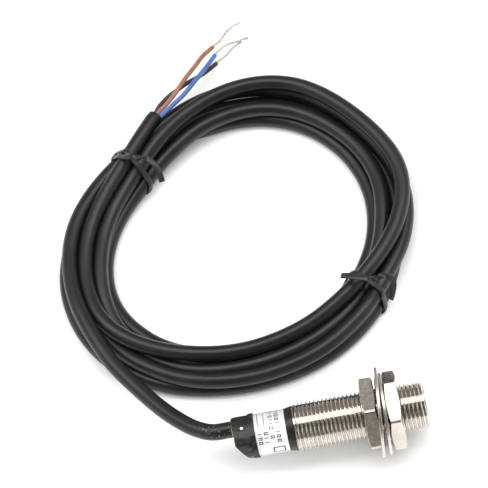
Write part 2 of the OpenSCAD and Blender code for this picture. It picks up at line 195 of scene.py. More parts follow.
def round_bar(width: float, height: float, corner: float, count: int = 20) -> np.ndarray:
    """A rounded rectangle's outline: a superellipse that is nearly square.

    Args:
        width: its whole width.
        height: its whole height.
        corner: how square it is, from 2 for an ellipse upwards.
        count: the points round it.

    Returns:
        The outline, count x 2.
    """
    a = np.linspace(0, 2 * math.pi, count, endpoint=False)
    c, s = np.cos(a), np.sin(a)
    return np.stack(
        [
            width / 2 * np.sign(c) * np.abs(c) ** (2 / corner),
            height / 2 * np.sign(s) * np.abs(s) ** (2 / corner)
        ],
        axis=1
    )


def joined(name: str, meshes: list[Mesh], sharp: float = 40.0) -> Mesh:
    """One mesh that holds several closed shells."""
    made = bmesh.new()
    for mesh in meshes:
        made.from_mesh(mesh)
        bpy.data.meshes.remove(mesh)
    mesh = bpy.data.meshes.new(name)
    made.to_mesh(mesh)
    made.free()
    finish_mesh(mesh, sharp)
    return mesh


# ---------------------------------------------------------------- finishes


class Pattern(Enum):
    """How a finish's grain lies."""

    EVEN = "even"
    TURNED = "turned"


class Tree:
    """A short hand for one material's nodes."""

    def __init__(self, name: str) -> None:
        """Makes the material, with its shader and Object coordinates.

        Args:
            name: the material's name.
        """
        self.material = bpy.data.materials.new(name)
        self.material.use_nodes = True
        self.nodes = self.material.node_tree.nodes
        self.links = self.material.node_tree.links
        self.shader = self.nodes["Principled BSDF"]
        self.place = self.nodes.new("ShaderNodeTexCoord")

    def join(self, source: Socket, target: Socket) -> None:
        """Links one socket to another."""
        self.links.new(source, target)

    def scaled(self, scale: Point, source: str = "Object") -> Socket:
        """Coordinates stretched by a scale.

        Args:
            scale: the stretch along X, Y and Z.
            source: Object, or UV for what follows the surface.

        Returns:
            The stretched coordinates.
        """
        node = self.nodes.new("ShaderNodeMapping")
        node.inputs["Scale"].default_value = scale
        self.join(self.place.outputs[source], node.inputs["Vector"])
        return node.outputs["Vector"]

    def noise(
        self, vector: Socket, scale: float, detail: float = 4.0, rough: float = 0.6
    ) -> Socket:
        """Cloudy noise from 0 to 1 on some coordinates.

        Args:
            vector: the coordinates.
            scale: features in a unit of them.
            detail: how many finer octaves it has.
            rough: how strong those are.

        Returns:
            The noise's value.
        """
        node = self.nodes.new("ShaderNodeTexNoise")
        node.inputs["Scale"].default_value = scale
        node.inputs["Detail"].default_value = detail
        node.inputs["Roughness"].default_value = rough
        self.join(vector, node.inputs["Vector"])
        return node.outputs["Fac"]

    def ranged(
        self, value: Socket, low: float, high: float, to_low: float = 0.0, to_high: float = 1.0
    ) -> Socket:
        """A value taken from one range to another, held at its ends.

        Args:
            value: what is mapped.
            low: the start of its range.
            high: the end of its range.
            to_low: what low becomes.
            to_high: what high becomes.

        Returns:
            The mapped value.
        """
        node = self.nodes.new("ShaderNodeMapRange")
        ends = {"From Min": low, "From Max": high, "To Min": to_low, "To Max": to_high}
        for socket, number in ends.items():
            node.inputs[socket].default_value = number
        self.join(value, node.inputs["Value"])
        return node.outputs["Result"]

    def maths(self, kind: str, a: Socket, b: Socket | float = 0.0) -> Socket:
        """One sum on a value and another value or a number."""
        node = self.nodes.new("ShaderNodeMath")
        node.operation = kind
        self.join(a, node.inputs[0])
        if isinstance(b, (int, float)):
            node.inputs[1].default_value = b
        else:
            self.join(b, node.inputs[1])
        return node.outputs[0]

    def mixed(self, share: Socket, a: Colour | Socket, b: Colour | Socket) -> Socket:
        """Two colours mixed by a share.

        Args:
            share: 0 for the first colour, 1 for the second.
            a: the first colour.
            b: the second colour.

        Returns:
            The mixed colour.
        """
        node = self.nodes.new("ShaderNodeMix")
        node.data_type = "RGBA"
        self.join(share, node.inputs[0])
        for socket, value in ((node.inputs[6], a), (node.inputs[7], b)):
            if isinstance(value, tuple):
                socket.default_value = (*value, 1.0)
            else:
                self.join(value, socket)
        return node.outputs[2]

    def bump(self, height: Socket, strength: float, depth: float) -> None:
        """Raises the surface by a height.

        Args:
            height: the height, from 0 to 1.
            strength: how much of it shows.
            depth: its whole depth in metres.
        """
        node = self.nodes.new("ShaderNodeBump")
        node.inputs["Strength"].default_value = strength
        node.inputs["Distance"].default_value = depth
        self.join(height, node.inputs["Height"])
        self.join(node.outputs["Normal"], self.shader.inputs["Normal"])

    def colour(self, source: Socket) -> None:
        """Gives the shader its colour."""
        self.join(source, self.shader.inputs["Base Color"])

    def rough(self, source: Socket) -> None:
        """Gives the shader its roughness."""
        self.join(source, self.shader.inputs["Roughness"])


@dataclass(frozen=True)
class Finish:
    """A finish with grain in its colour, gloss and relief."""

    name: str
    colour: Colour
    tint: Colour
    rough: tuple[float, float] = (0.4, 0.55)
    grain: float = 900.0
    relief: float = 0.2
    metallic: float = 0.0
    depth: float = 0.00004
    specular: float = 0.5
    pattern: Pattern = Pattern.EVEN
    # painted light: the surface emits its own colour though it is no lamp
    painted_glow: float = 0.0
    see_through: float = 0.0

    def start(self) -> tuple[Tree, Socket]:
        """The shader's own numbers, and the coordinates that the grain lies on."""
        tree = Tree(self.name)
        tree.shader.inputs["Metallic"].default_value = self.metallic
        tree.shader.inputs["Specular IOR Level"].default_value = self.specular
        if self.see_through:
            tree.shader.inputs["Transmission Weight"].default_value = self.see_through
        # painted glow: the surface emits its own colour as painted light
        if self.painted_glow:
            tree.shader.inputs["Emission Color"].default_value = (*self.colour, 1.0)
            tree.shader.inputs["Emission Strength"].default_value = self.painted_glow
        turned = self.pattern is Pattern.TURNED
        return tree, tree.scaled((4.0, 0.25, 0.25) if turned else (1.0, 1.0, 1.0))

    def build(self) -> bpy.types.Material:
        """The material: clouds of tint in the colour, uneven gloss and fine relief."""
        tree, place = self.start()
        clouds = tree.noise(place, self.grain * 0.35, 3.0)
        fine = tree.noise(place, self.grain, 5.0, 0.65)
        tree.colour(tree.mixed(tree.ranged(clouds, 0.38, 0.66), self.colour, self.tint))
        tree.rough(tree.ranged(fine, 0.3, 0.7, *self.rough))
        tree.bump(fine, self.relief, self.depth)
        return tree.material


@dataclass(frozen=True)
class WornMetal(Finish):
    """Plated metal, lighter where its edges have rubbed."""

    edge: Colour = (0.9, 0.88, 0.85)
    stain: float = 0.3

    def build(self) -> bpy.types.Material:
        """The material: clouds, a dull stain, fine tool lines, and bright worn edges."""
        tree, place = self.start()
        clouds = tree.noise(place, self.grain * 0.3, 3.0)
        lines = tree.noise(place, self.grain * 2.2, 4.0, 0.7)
        spots = tree.noise(tree.scaled((1.0, 1.0, 1.0)), 420.0, 5.0, 0.7)
        body = tree.mixed(tree.ranged(clouds, 0.36, 0.66), self.colour, self.tint)
        dull = tuple(c * 0.62 for c in self.tint)
        body = tree.mixed(tree.ranged(spots, 0.6, 0.78, 0.0, self.stain), body, dull)
        points = tree.nodes.new("ShaderNodeNewGeometry").outputs["Pointiness"]
        worn = tree.ranged(points, 0.51, 0.58)
        tree.colour(tree.mixed(worn, body, self.edge))
        uneven = tree.ranged(lines, 0.3, 0.7, *self.rough)
        tree.rough(tree.maths("ADD", uneven, tree.ranged(spots, 0.55, 0.8, 0.0, 0.1)))
        tree.bump(lines, self.relief, self.depth)
        return tree.material


@dataclass(frozen=True)
class CableJacket(Finish):
    """Soft black PVC with faint lines along it and pale flecks by the cable's entry."""

    entry: Point = (0.0, 0.0, 0.0)
    reach: float = 0.014

    def build(self) -> bpy.types.Material:
        """The material: faint scuffs, lines along the cable, and flecks near the entry."""
        tree, place = self.start()
        clouds = tree.noise(place, 160.0, 4.0)
        fine = tree.noise(place, self.grain, 5.0, 0.7)
        lines = tree.noise(tree.scaled((14.0, 0.02, 1.0), "UV"), 1.0, 3.0)
        body = tree.mixed(tree.ranged(clouds, 0.35, 0.7), self.colour, self.tint)
        scuffs = tree.noise(place, 1500.0, 6.0, 0.75)
        body = tree.mixed(tree.ranged(scuffs, 0.64, 0.74, 0.0, 0.3), body, (0.12, 0.118, 0.112))
        away = tree.nodes.new("ShaderNodeVectorMath")
        away.operation = "DISTANCE"
        tree.join(tree.place.outputs["Object"], away.inputs[0])
        away.inputs[1].default_value = self.entry
        nearness = tree.ranged(away.outputs["Value"], 0.001, self.reach, 1.0, 0.0)
        flecks = tree.noise(place, 2100.0, 3.0, 0.6)
        flecks = tree.maths("MULTIPLY", tree.ranged(flecks, 0.6, 0.66), nearness)
        tree.colour(tree.mixed(tree.maths("MULTIPLY", flecks, 0.6), body, (0.42, 0.39, 0.32)))
        gloss = tree.ranged(tree.maths("ADD", fine, lines), 0.7, 1.3, *self.rough)
        tree.rough(gloss)
        tree.bump(tree.maths("ADD", fine, lines), self.relief, self.depth)
        return tree.material


@dataclass(frozen=True)
class LabelFoil(Finish):
    """Silvery foil whose print is stood for by plain rules, blocks and one empty box.

    All places are in millimetres: u round the sleeve, v along it from the cap.
    """

    round_mm: float = 31.4
    pitch: float = 1.5

    def window(self, tree: Tree, value: Socket, low: float, high: float) -> Socket:
        """One inside a range and zero outside it, with slightly soft ends.

        Args:
            tree: the material's nodes.
            value: what is compared.
            low: the range's start.
            high: its end.

        Returns:
            The window's value.
        """
        rise = tree.ranged(value, low, low + 0.06)
        return tree.maths("MULTIPLY", rise, tree.ranged(value, high, high - 0.06))

    def patch(
        self, tree: Tree, u: Socket, v: Socket, wide: tuple[float, float],
        high: tuple[float, float]
    ) -> Socket:
        """One inside a rectangle of the label and zero outside it.

        Args:
            tree: the material's nodes.
            u: the place round the sleeve.
            v: the place along it.
            wide: the rectangle's start and end in u.
            high: its start and end in v.

        Returns:
            The patch's value.
        """
        across = self.window(tree, u, *wide)
        return tree.maths("MULTIPLY", across, self.window(tree, v, *high))

    def blocks(self, tree: Tree, u: Socket, v: Socket) -> Socket:
        """Rows of blocks: in each cell an open square, a bar or a gap, as a random value says.

        Args:
            tree: the material's nodes.
            u: the place round the sleeve.
            v: the place along it.

        Returns:
            One where a block is.
        """
        rows = tree.maths("MULTIPLY", tree.maths("SUBTRACT", v, 0.35), 1 / self.pitch)
        cells = tree.maths("MULTIPLY", u, 0.94)
        across, inside = tree.maths("FRACT", rows), tree.maths("FRACT", cells)
        place_id = tree.nodes.new("ShaderNodeCombineXYZ")
        tree.join(tree.maths("FLOOR", cells), place_id.inputs[0])
        tree.join(tree.maths("FLOOR", rows), place_id.inputs[1])
        chance = tree.nodes.new("ShaderNodeTexWhiteNoise")
        chance.noise_dimensions = "2D"
        tree.join(place_id.outputs[0], chance.inputs["Vector"])
        pick = chance.outputs["Value"]
        tall = self.window(tree, across, 0.12, 0.82)
        square = tree.maths("MULTIPLY", tall, self.window(tree, inside, 0.14, 0.86))
        hole = self.window(tree, across, 0.27, 0.67)
        hole = tree.maths("MULTIPLY", hole, self.window(tree, inside, 0.34, 0.66))
        ring = tree.maths("SUBTRACT", square, hole)
        bar = tree.maths("MULTIPLY", tall, self.window(tree, inside, 0.38, 0.62))
        is_ring = tree.ranged(pick, 0.5, 0.501)
        is_bar = tree.ranged(pick, 0.16, 0.161)
        is_bar = tree.maths("MULTIPLY", is_bar, tree.ranged(pick, 0.5, 0.499))
        rings, bars = tree.maths("MULTIPLY", ring, is_ring), tree.maths("MULTIPLY", bar, is_bar)
        return tree.maths("ADD", rings, bars)

    def build(self) -> bpy.types.Material:
        """The material: foil, with two rows of blocks, two short rows after rules, and a box."""
        tree, place = self.start()
        fine = tree.noise(place, self.grain, 5.0, 0.65)
        clouds = tree.noise(place, 260.0, 3.0)
        foil = tree.mixed(tree.ranged(clouds, 0.35, 0.7), self.colour, self.tint)
        split = tree.nodes.new("ShaderNodeSeparateXYZ")
        tree.join(tree.place.outputs["UV"], split.inputs[0])
        u = tree.maths("MULTIPLY", split.outputs[0], self.round_mm)
        v = split.outputs[1]
        blocks = self.blocks(tree, u, v)
        wide = self.patch(tree, u, v, (3.2, 12.7), (3.35, 6.35))
        short = self.patch(tree, u, v, (9.6, 12.7), (0.35, 3.35))
        rules = tree.maths(
            "ADD", self.window(tree, v, 0.85, 1.05), self.window(tree, v, 2.35, 2.55)
        )
        rules = tree.maths("MULTIPLY", rules, self.window(tree, u, 3.6, 8.9))
        outer = self.patch(tree, u, v, (13.9, 16.2), (3.6, 6.6))
        inner = self.patch(tree, u, v, (14.2, 15.9), (3.9, 6.3))
        print_on = tree.maths("MULTIPLY", blocks, tree.maths("ADD", wide, short))
        print_on = tree.maths(
            "ADD", print_on, tree.maths("ADD", rules, tree.maths("SUBTRACT", outer, inner))
        )
        wear = tree.ranged(tree.noise(place, 1400.0, 3.0), 0.3, 0.42)
        ink = tree.maths("MINIMUM", tree.maths("MULTIPLY", print_on, wear), 1.0)
        tree.colour(tree.mixed(ink, foil, (0.015, 0.015, 0.02)))
        dulled = tree.maths("MULTIPLY", ink, 0.15)
        tree.rough(tree.maths("ADD", tree.ranged(fine, 0.3, 0.7, *self.rough), dulled))
        tree.bump(fine, self.relief, self.depth)
        return tree.material


# ---------------------------------------------------------------- pieces


@dataclass
class Workshop:
    """Turns meshes into pieces: gives each its finish and its body, and hides the CAD nodes it
    stands for.
    """

    materials: dict[str, bpy.types.Material]

    def finish(self, look: Finish) -> bpy.types.Material:
        """The material of a finish, made once."""
        if look.name not in self.materials:
            self.materials[look.name] = look.build()
        return self.materials[look.name]

    def piece(
        self, mesh: Mesh, look: Finish, body: str, slot: str, replaces: tuple[str, ...] = ()
    ) -> bpy.types.Object:
        """Makes a piece of a mesh whose place is in its vertices.

        Args:
            mesh: the mesh, in the row frame.
            look: its finish.
            body: the CAD body it rides on.
            slot: the record's material slot; not used.
            replaces: the CAD nodes it stands for.

        Returns:
            The finished piece.
        """
        made = bpy.data.objects.new(mesh.name, mesh)
        bpy.context.scene.collection.objects.link(made)
        mesh.materials.clear()
        mesh.materials.append(self.finish(look))
        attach(made, body)
        if replaces:
            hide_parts(*replaces)
        LOG.info("%s: %d faces on %s", mesh.name, len(mesh.polygons), body)
        return made

    def dress(self, node: str, look: Finish) -> None:
        """Gives a CAD node that stays its finish."""
        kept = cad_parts[node]
        kept.data.materials.clear()
        kept.data.materials.append(self.finish(look))
        LOG.info("%s: CAD node dressed as %s", node, look.name)

    def softened(
        self, node: str, look: Finish, body: str, slot: str, edge: float, segments: int = 3
    ) -> bpy.types.Object:
        """A copy of a CAD node with its doubles merged and its edges rounded.

        Args:
            node: the CAD node it is copied from and stands for.
            look: its finish.
            body: the body it rides on.
            slot: the record's material slot; not used.
            edge: the width of the rounding, in metres.
            segments: how many faces the rounding has.

        Returns:
            The rounded piece.
        """
        work = bmesh.new()
        work.from_mesh(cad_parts[node].data)
        bmesh.ops.remove_doubles(work, verts=work.verts, dist=1e-6)
        flat, crease = math.radians(1.0), math.radians(28)
        bmesh.ops.dissolve_limit(work, angle_limit=flat, verts=work.verts, edges=work.edges)
        paired = [e for e in work.edges if len(e.link_faces) == 2]
        crisp = [e for e in paired if e.calc_face_angle(0.0) > crease]
        bmesh.ops.bevel(
            work, geom=crisp, offset=edge, segments=segments, profile=0.5, affect="EDGES",
            clamp_overlap=True
        )
        bmesh.ops.recalc_face_normals(work, faces=work.faces)
        mesh = bpy.data.meshes.new(node + "_rounded")
        work.to_mesh(mesh)
        work.free()
        finish_mesh(mesh, 32.0)
        return self.piece(mesh, look, body, slot, (node,))


@dataclass
class Axis:
    """The sensor's axis, its height and where its barrel begins; angles go from +Y to +Z."""

    height: float
    rear: float

    @classmethod
    def measured(cls) -> "Axis":
        """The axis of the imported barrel."""
        low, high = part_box("barrel")
        return cls(height=(low.z + high.z) / 2, rear=low.x)

    def ring(self, x: np.ndarray, r: np.ndarray, angle: np.ndarray) -> np.ndarray:
        """Points at distance x along the axis, r from it and turned by an angle about it."""
        x, r, angle = np.broadcast_arrays(x, r, angle)
        return np.stack([x, r * np.cos(angle), self.height + r * np.sin(angle)], axis=-1)

    def turned(
        self, name: str, profile: list[tuple[float, float]], steps: int = 96,
        closed: bool = False, sharp: float = 30.0
    ) -> Mesh:
        """A turned shape: a profile of (x, radius) in metres carried once round the axis.

        Args:
            name: the mesh's name.
            profile: its corners from one end to the other.
            steps: how many steps it takes round the axis.
            closed: the profile's end joins its start, for a ring.
            sharp: the angle past which an edge stays sharp.

        Returns:
            The turned mesh.
        """
        p = np.array(profile, float)
        a = np.linspace(0, 2 * math.pi, steps, endpoint=False)
        points = self.ring(p[:, 0, None], p[:, 1, None], a[None, :])
        return surface(name, points, close_rows=closed, sharp=sharp)


def rounded_profile(
    corners: list[tuple[float, float]], radius: float, closed: bool = False, steps: int = 4
) -> list[tuple[float, float]]:
    """A profile with each corner rounded by a short curve that starts a radius before it.

    Args:
        corners: the profile's corners, (x, radius).
        radius: how far from a corner the rounding starts.
        closed: the profile is a ring, so that its first and last corners are rounded too.
        steps: how many steps a rounding has.

    Returns:
        The rounded profile.
    """
    p = np.array(corners, float)
    made: list[np.ndarray] = []
    count = len(p)
    for k in range(count):
        if not closed and k in (0, count - 1):
            made.append(p[k][None])
            continue
        before, here, after = p[k - 1], p[k], p[(k + 1) % count]
        back, on = np.linalg.norm(before - here), np.linalg.norm(after - here)
        r = min(radius, 0.45 * back, 0.45 * on)
        start = here + r * (before - here) / back
        end = here + r * (after - here) / on
        t = np.linspace(0, 1, steps + 1)[:, None]
        made.append((1 - t) ** 2 * start + 2 * t * (1 - t) * here + t**2 * end)
    return [tuple(q) for q in np.vstack(made)]


# ---------------------------------------------------------------- the cable


@dataclass
class Cable:
    """The free cable: out of the cap, into a coil of five turns, to its bare end.

    Sizes are in millimetres, in the row frame. Each turn is a list of places that the cable
    passes: the angle about the coil's middle, the distance from it, and the height. The last
    values say how the turns settle: how fast they spread, how stiff the cable is, and how
    firmly it holds to where it was laid.
    """

    diameter: float = 4.0
    length: float = 1300.0
    points: int = 1300
    middle: tuple[float, float] = (-15.0, 57.5)
    exit: Point = (-23.05, 1.84, 12.84)
    lead: tuple[Point, ...] = (
        (-24.8, 1.84, 12.84), (-26.85, 1.84, 12.84), (-29.8, 2.6, 12.5), (-33.4, 4.6, 11.6),
        (-36.9, 7.9, 10.6), (-40.2, 12.0, 9.8), (-43.4, 16.6, 9.2), (-46.2, 21.0, 9.0)
    )
    turns: tuple[tuple[Point, ...], ...] = (
        # into the coil, then under the fourth turn and outermost at the right tie
        (
            (222, 47.6, 8.8), (211, 45.5, 9.0), (202, 44.6, 9.0), (193, 44.5, 8.8),
            (182, 44.2, 8.4), (170, 43.7, 8.0), (160, 42.4, 7.6), (148, 41.0, 7.0),
            (134, 40.0, 6.2), (118, 40.7, 5.2), (106, 42.1, 4.9), (96, 44.3, 4.9),
            (86, 46.0, 4.9), (74, 46.6, 5.0), (60, 46.7, 5.2), (46, 45.1, 5.5),
            (32, 44.4, 5.8), (18, 45.1, 5.6), (6, 44.9, 5.2), (-4, 43.7, 4.8),
            (-15, 41.9, 4.8), (-27, 39.5, 5.4), (-37, 39.5, 6.0), (-48, 39.0, 6.0),
            (-62, 39.4, 5.6), (-74, 39.1, 5.4), (-92, 39.9, 5.0), (-113, 41.5, 4.6),
        ),
        # low, between the lead and the free end
        (
            (234, 41.8, 4.2), (224, 42.3, 4.0), (214, 43.1, 3.8), (202, 43.3, 3.6),
            (190, 42.9, 3.4), (176, 42.0, 3.0), (162, 40.8, 2.4), (148, 38.9, 2.1),
            (134, 36.9, 2.1), (124, 37.3, 3.4), (116, 38.0, 4.8), (108, 39.0, 5.5),
            (99, 40.5, 4.2), (88, 42.0, 2.6), (74, 44.0, 2.1), (58, 44.2, 2.0),
            (44, 43.6, 2.0), (30, 43.4, 2.2), (16, 43.1, 2.4), (4, 41.5, 2.4),
            (-8, 40.4, 2.2), (-20, 40.5, 2.0), (-32, 40.5, 2.0), (-43, 40.3, 2.0),
            (-58, 40.0, 2.0), (-76, 39.5, 2.0), (-96, 40.0, 2.0), (-112, 41.2, 2.0),
        ),
        # outermost on the left, innermost on the right
        (
            (237, 42.4, 2.0), (226, 43.8, 2.0), (214, 44.8, 2.0), (204, 45.7, 2.0),
            (194, 46.7, 2.0), (182, 46.5, 2.0), (172, 45.4, 2.0), (160, 43.8, 2.0),
            (147, 41.9, 2.0), (134, 40.5, 2.0), (120, 39.7, 2.0), (108, 38.7, 2.0),
            (98, 38.3, 2.0), (86, 38.7, 2.0), (72, 39.5, 2.0), (56, 39.6, 2.0),
            (40, 38.9, 2.0), (26, 38.0, 2.0), (12, 37.1, 2.0), (0, 35.8, 2.0),
            (-12, 35.0, 2.0), (-24, 33.6, 2.0), (-36, 32.7, 2.0), (-50, 32.4, 2.0),
            (-66, 31.6, 2.0), (-84, 31.2, 2.0), (-102, 31.9, 2.0), (-116, 32.9, 2.0),
        ),
        # innermost on the left, then up to the second layer
        (
            (232, 34.1, 2.0), (221, 35.9, 2.0), (210, 37.8, 2.0), (198, 37.8, 2.0),
            (186, 36.8, 2.0), (172, 35.8, 2.0), (158, 34.6, 2.0), (146, 33.4, 2.2),
            (134, 32.1, 3.2), (123, 32.9, 5.0), (110, 34.7, 5.6), (99, 36.8, 5.8),
            (87, 38.4, 5.8), (73, 40.5, 5.4), (58, 41.0, 5.2), (43, 40.7, 5.2),
            (28, 40.8, 5.2), (14, 39.9, 5.4), (2, 38.1, 5.4), (-9, 36.8, 5.2),
            (-20, 36.1, 4.8), (-30, 35.9, 4.2), (-39, 36.3, 4.4), (-50, 35.7, 5.2),
            (-64, 35.6, 5.2), (-78, 35.6, 5.0), (-95, 36.2, 4.6), (-112, 37.8, 4.0),
        ),
        # under the free end at the lower left, then on top of everything
        (
            (236, 39.1, 3.2), (226, 39.4, 3.0), (217, 39.1, 3.2), (208, 39.0, 3.8),
            (199, 38.6, 4.8), (189, 37.8, 5.6), (178, 36.9, 6.0), (164, 36.5, 6.0),
            (150, 35.5, 6.2), (139, 34.5, 6.4), (130, 35.0, 7.0), (122, 35.9, 8.0),
            (110, 38.2, 9.2), (97, 41.0, 9.4), (86, 43.9, 9.2), (73, 46.4, 9.0),
            (60, 47.0, 9.0), (45, 45.3, 9.2), (30, 45.0, 9.4), (17, 46.0, 9.4),
            (8, 45.4, 9.2), (0, 43.4, 9.0), (-9, 41.1, 9.0), (-19, 38.3, 8.9),
            (-29, 35.9, 8.6), (-38, 34.2, 8.0), (-48, 33.5, 7.4), (-62, 32.7, 6.8),
        ),
        # the free end
        (
            (284, 32.2, 6.6), (268, 32.7, 6.6), (252, 33.8, 6.8), (238, 35.5, 7.0),
            (227, 37.7, 7.0), (216, 40.1, 7.0), (206, 41.3, 7.0), (197, 41.4, 7.0),
            (187, 40.7, 7.0), (176, 39.8, 7.0), (163, 39.1, 7.0), (150, 38.1, 7.4),
            (140, 37.4, 8.2), (132, 37.6, 9.0),
        ),
    )
    tail: tuple[Point, ...] = (
        (-38.1, 87.8, 9.4), (-36.2, 90.8, 9.2), (-34.0, 93.7, 9.0), (-31.4, 97.0, 8.6)
    )
    laid_points: int = 560
    spread: float = 0.22
    overshoot: float = 1.6
    stiff: float = 0.35
    hold: float = 0.03

    def route(self) -> np.ndarray:
        """The middle line as laid, before its turns settle on each other."""
        laid = [np.array([self.exit, *self.lead])]
        for turn in self.turns:
            t = np.array(turn, float)
            a = np.radians(t[:, 0])
            x = self.middle[0] + t[:, 1] * np.cos(a)
            y = self.middle[1] + t[:, 1] * np.sin(a)
            laid.append(np.stack([x, y, t[:, 2]], axis=1))
        laid.append(np.array(self.tail))
        return smooth_line(np.vstack(laid), self.laid_points)

    def settled(self, rounds: int = 260) -> np.ndarray:
        """Lets the turns push each other a diameter apart.

        In each round every two points of different stretches that are nearer than a diameter
        move apart by a share of what is missing. Then each point moves a little towards the
        middle of its neighbours and back towards where it was laid, and none sinks below the table.

        Args:
            rounds: how many rounds it takes.

        Returns:
            The settled middle line, in metres.
        """
        home = self.route()
        line = home.copy()
        i, j = np.triu_indices(len(line), k=6)
        for _ in range(rounds):
            near = (np.abs(line[j] - line[i]) < self.diameter).all(1)
            ii, jj = i[near], j[near]
            apart = line[jj] - line[ii]
            gap = np.maximum(np.linalg.norm(apart, axis=1), 1e-6)
            push = np.clip(self.diameter * 1.01 - gap, 0, None) / gap
            step = apart * (self.spread * push)[:, None]
            move, hits = np.zeros_like(line), np.zeros(len(line))
            np.add.at(move, jj, step)
            np.add.at(move, ii, -step)
            np.add.at(hits, ii, push > 0)
            np.add.at(hits, jj, push > 0)
            line = line + move / np.maximum(hits, 1)[:, None] * self.overshoot
            bend = np.zeros_like(line)
            bend[1:-1] = (line[:-2] + line[2:]) / 2 - line[1:-1]
            line = line + self.stiff * bend + self.hold * (home - line)
            line[:, 2] = np.maximum(line[:, 2], self.diameter / 2)
            line[:4] = home[:4]
        return smooth_line(np.vstack([line[:-1:2], line[-1]]), self.points) * MM

    def build(self, shop: Workshop) -> tuple[bpy.types.Object, np.ndarray]:
        """Makes the cable.

        Args:
            shop: where pieces are made.

        Returns:
            The cable's piece and its middle line.
        """
        line = self.settled()
        radius = np.full((len(line), 1), self.diameter / 2 * MM)
        radius[-1] *= 0.93
        look = CableJacket(
            "cable_jacket", colour=(0.007, 0.007, 0.0072), tint=(0.012, 0.0115, 0.011),
            rough=(0.3, 0.43), grain=2600.0, relief=0.16, depth=0.00005, specular=0.42,
            entry=tuple(v * MM for v in self.exit)
        )
        mesh = tube("cable", line, radius, 28)
        made = shop.piece(mesh, look, "root", "cable_pvc", ("cable_lead", "cable_coil"))
        LOG.info("cable: %.3f m long", along(line)[-1])
        return made, line


@dataclass(frozen=True)
class Core:
    """One insulated core past the jacket's end, with its bare twisted strand."""

    name: str
    route: tuple[Point, ...]
    bare: tuple[Point, ...]
    colour: Colour
    tint: Colour
    wire: float = 1.2
    strand: float = 0.62
    twist: float = 2.6

    def cover(self) -> Finish:
        """The finish of its insulation."""
        name = "core_" + self.name
        return Finish(name, self.colour, self.tint, (0.32, 0.48), 1800.0, 0.12)

    def build(self, shop: Workshop) -> list[bpy.types.Object]:
        """Makes the core and its strand.

        The strand's section has seven lobes, which turn along it as twisted wires do.

        Args:
            shop: where pieces are made.

        Returns:
            The two pieces.
        """
        line = smooth_line(np.array(self.route), 90) * MM
        radius = np.full((len(line), 1), self.wire / 2 * MM)
        radius[-1] *= 0.9
        made = [
            shop.piece(
                tube("wire_" + self.name + "_core", line, radius, 18), self.cover(), "root",
                "core_" + self.name, ("wire_" + self.name,)
            )
        ]
        bare = smooth_line(np.array(self.bare), 150) * MM
        a = np.linspace(0, 2 * math.pi, 35, endpoint=False)
        twist = along(bare) / (self.twist * MM) * 2 * math.pi
        lobes = np.abs(np.cos(3.5 * (a[None, :] - twist[:, None] / 7)))
        spread = 1 + 0.25 * np.clip((along(bare) - along(bare)[-1] + 1.2 * MM) / (1.2 * MM), 0, 1)
        r = self.strand / 2 * MM * (0.78 + 0.22 * lobes) * spread[:, None]
        tin = WornMetal(
            "tinned_copper", colour=(0.62, 0.6, 0.57), tint=(0.5, 0.42, 0.34), metallic=1.0,
            rough=(0.25, 0.4), grain=1500.0, relief=0.15
        )
        made.append(
            shop.piece(
                tube("strand_" + self.name + "_bare", bare, r, 35), tin, "root", "tinned_copper",
                ("strand_" + self.name,)
            )
        )
        return made


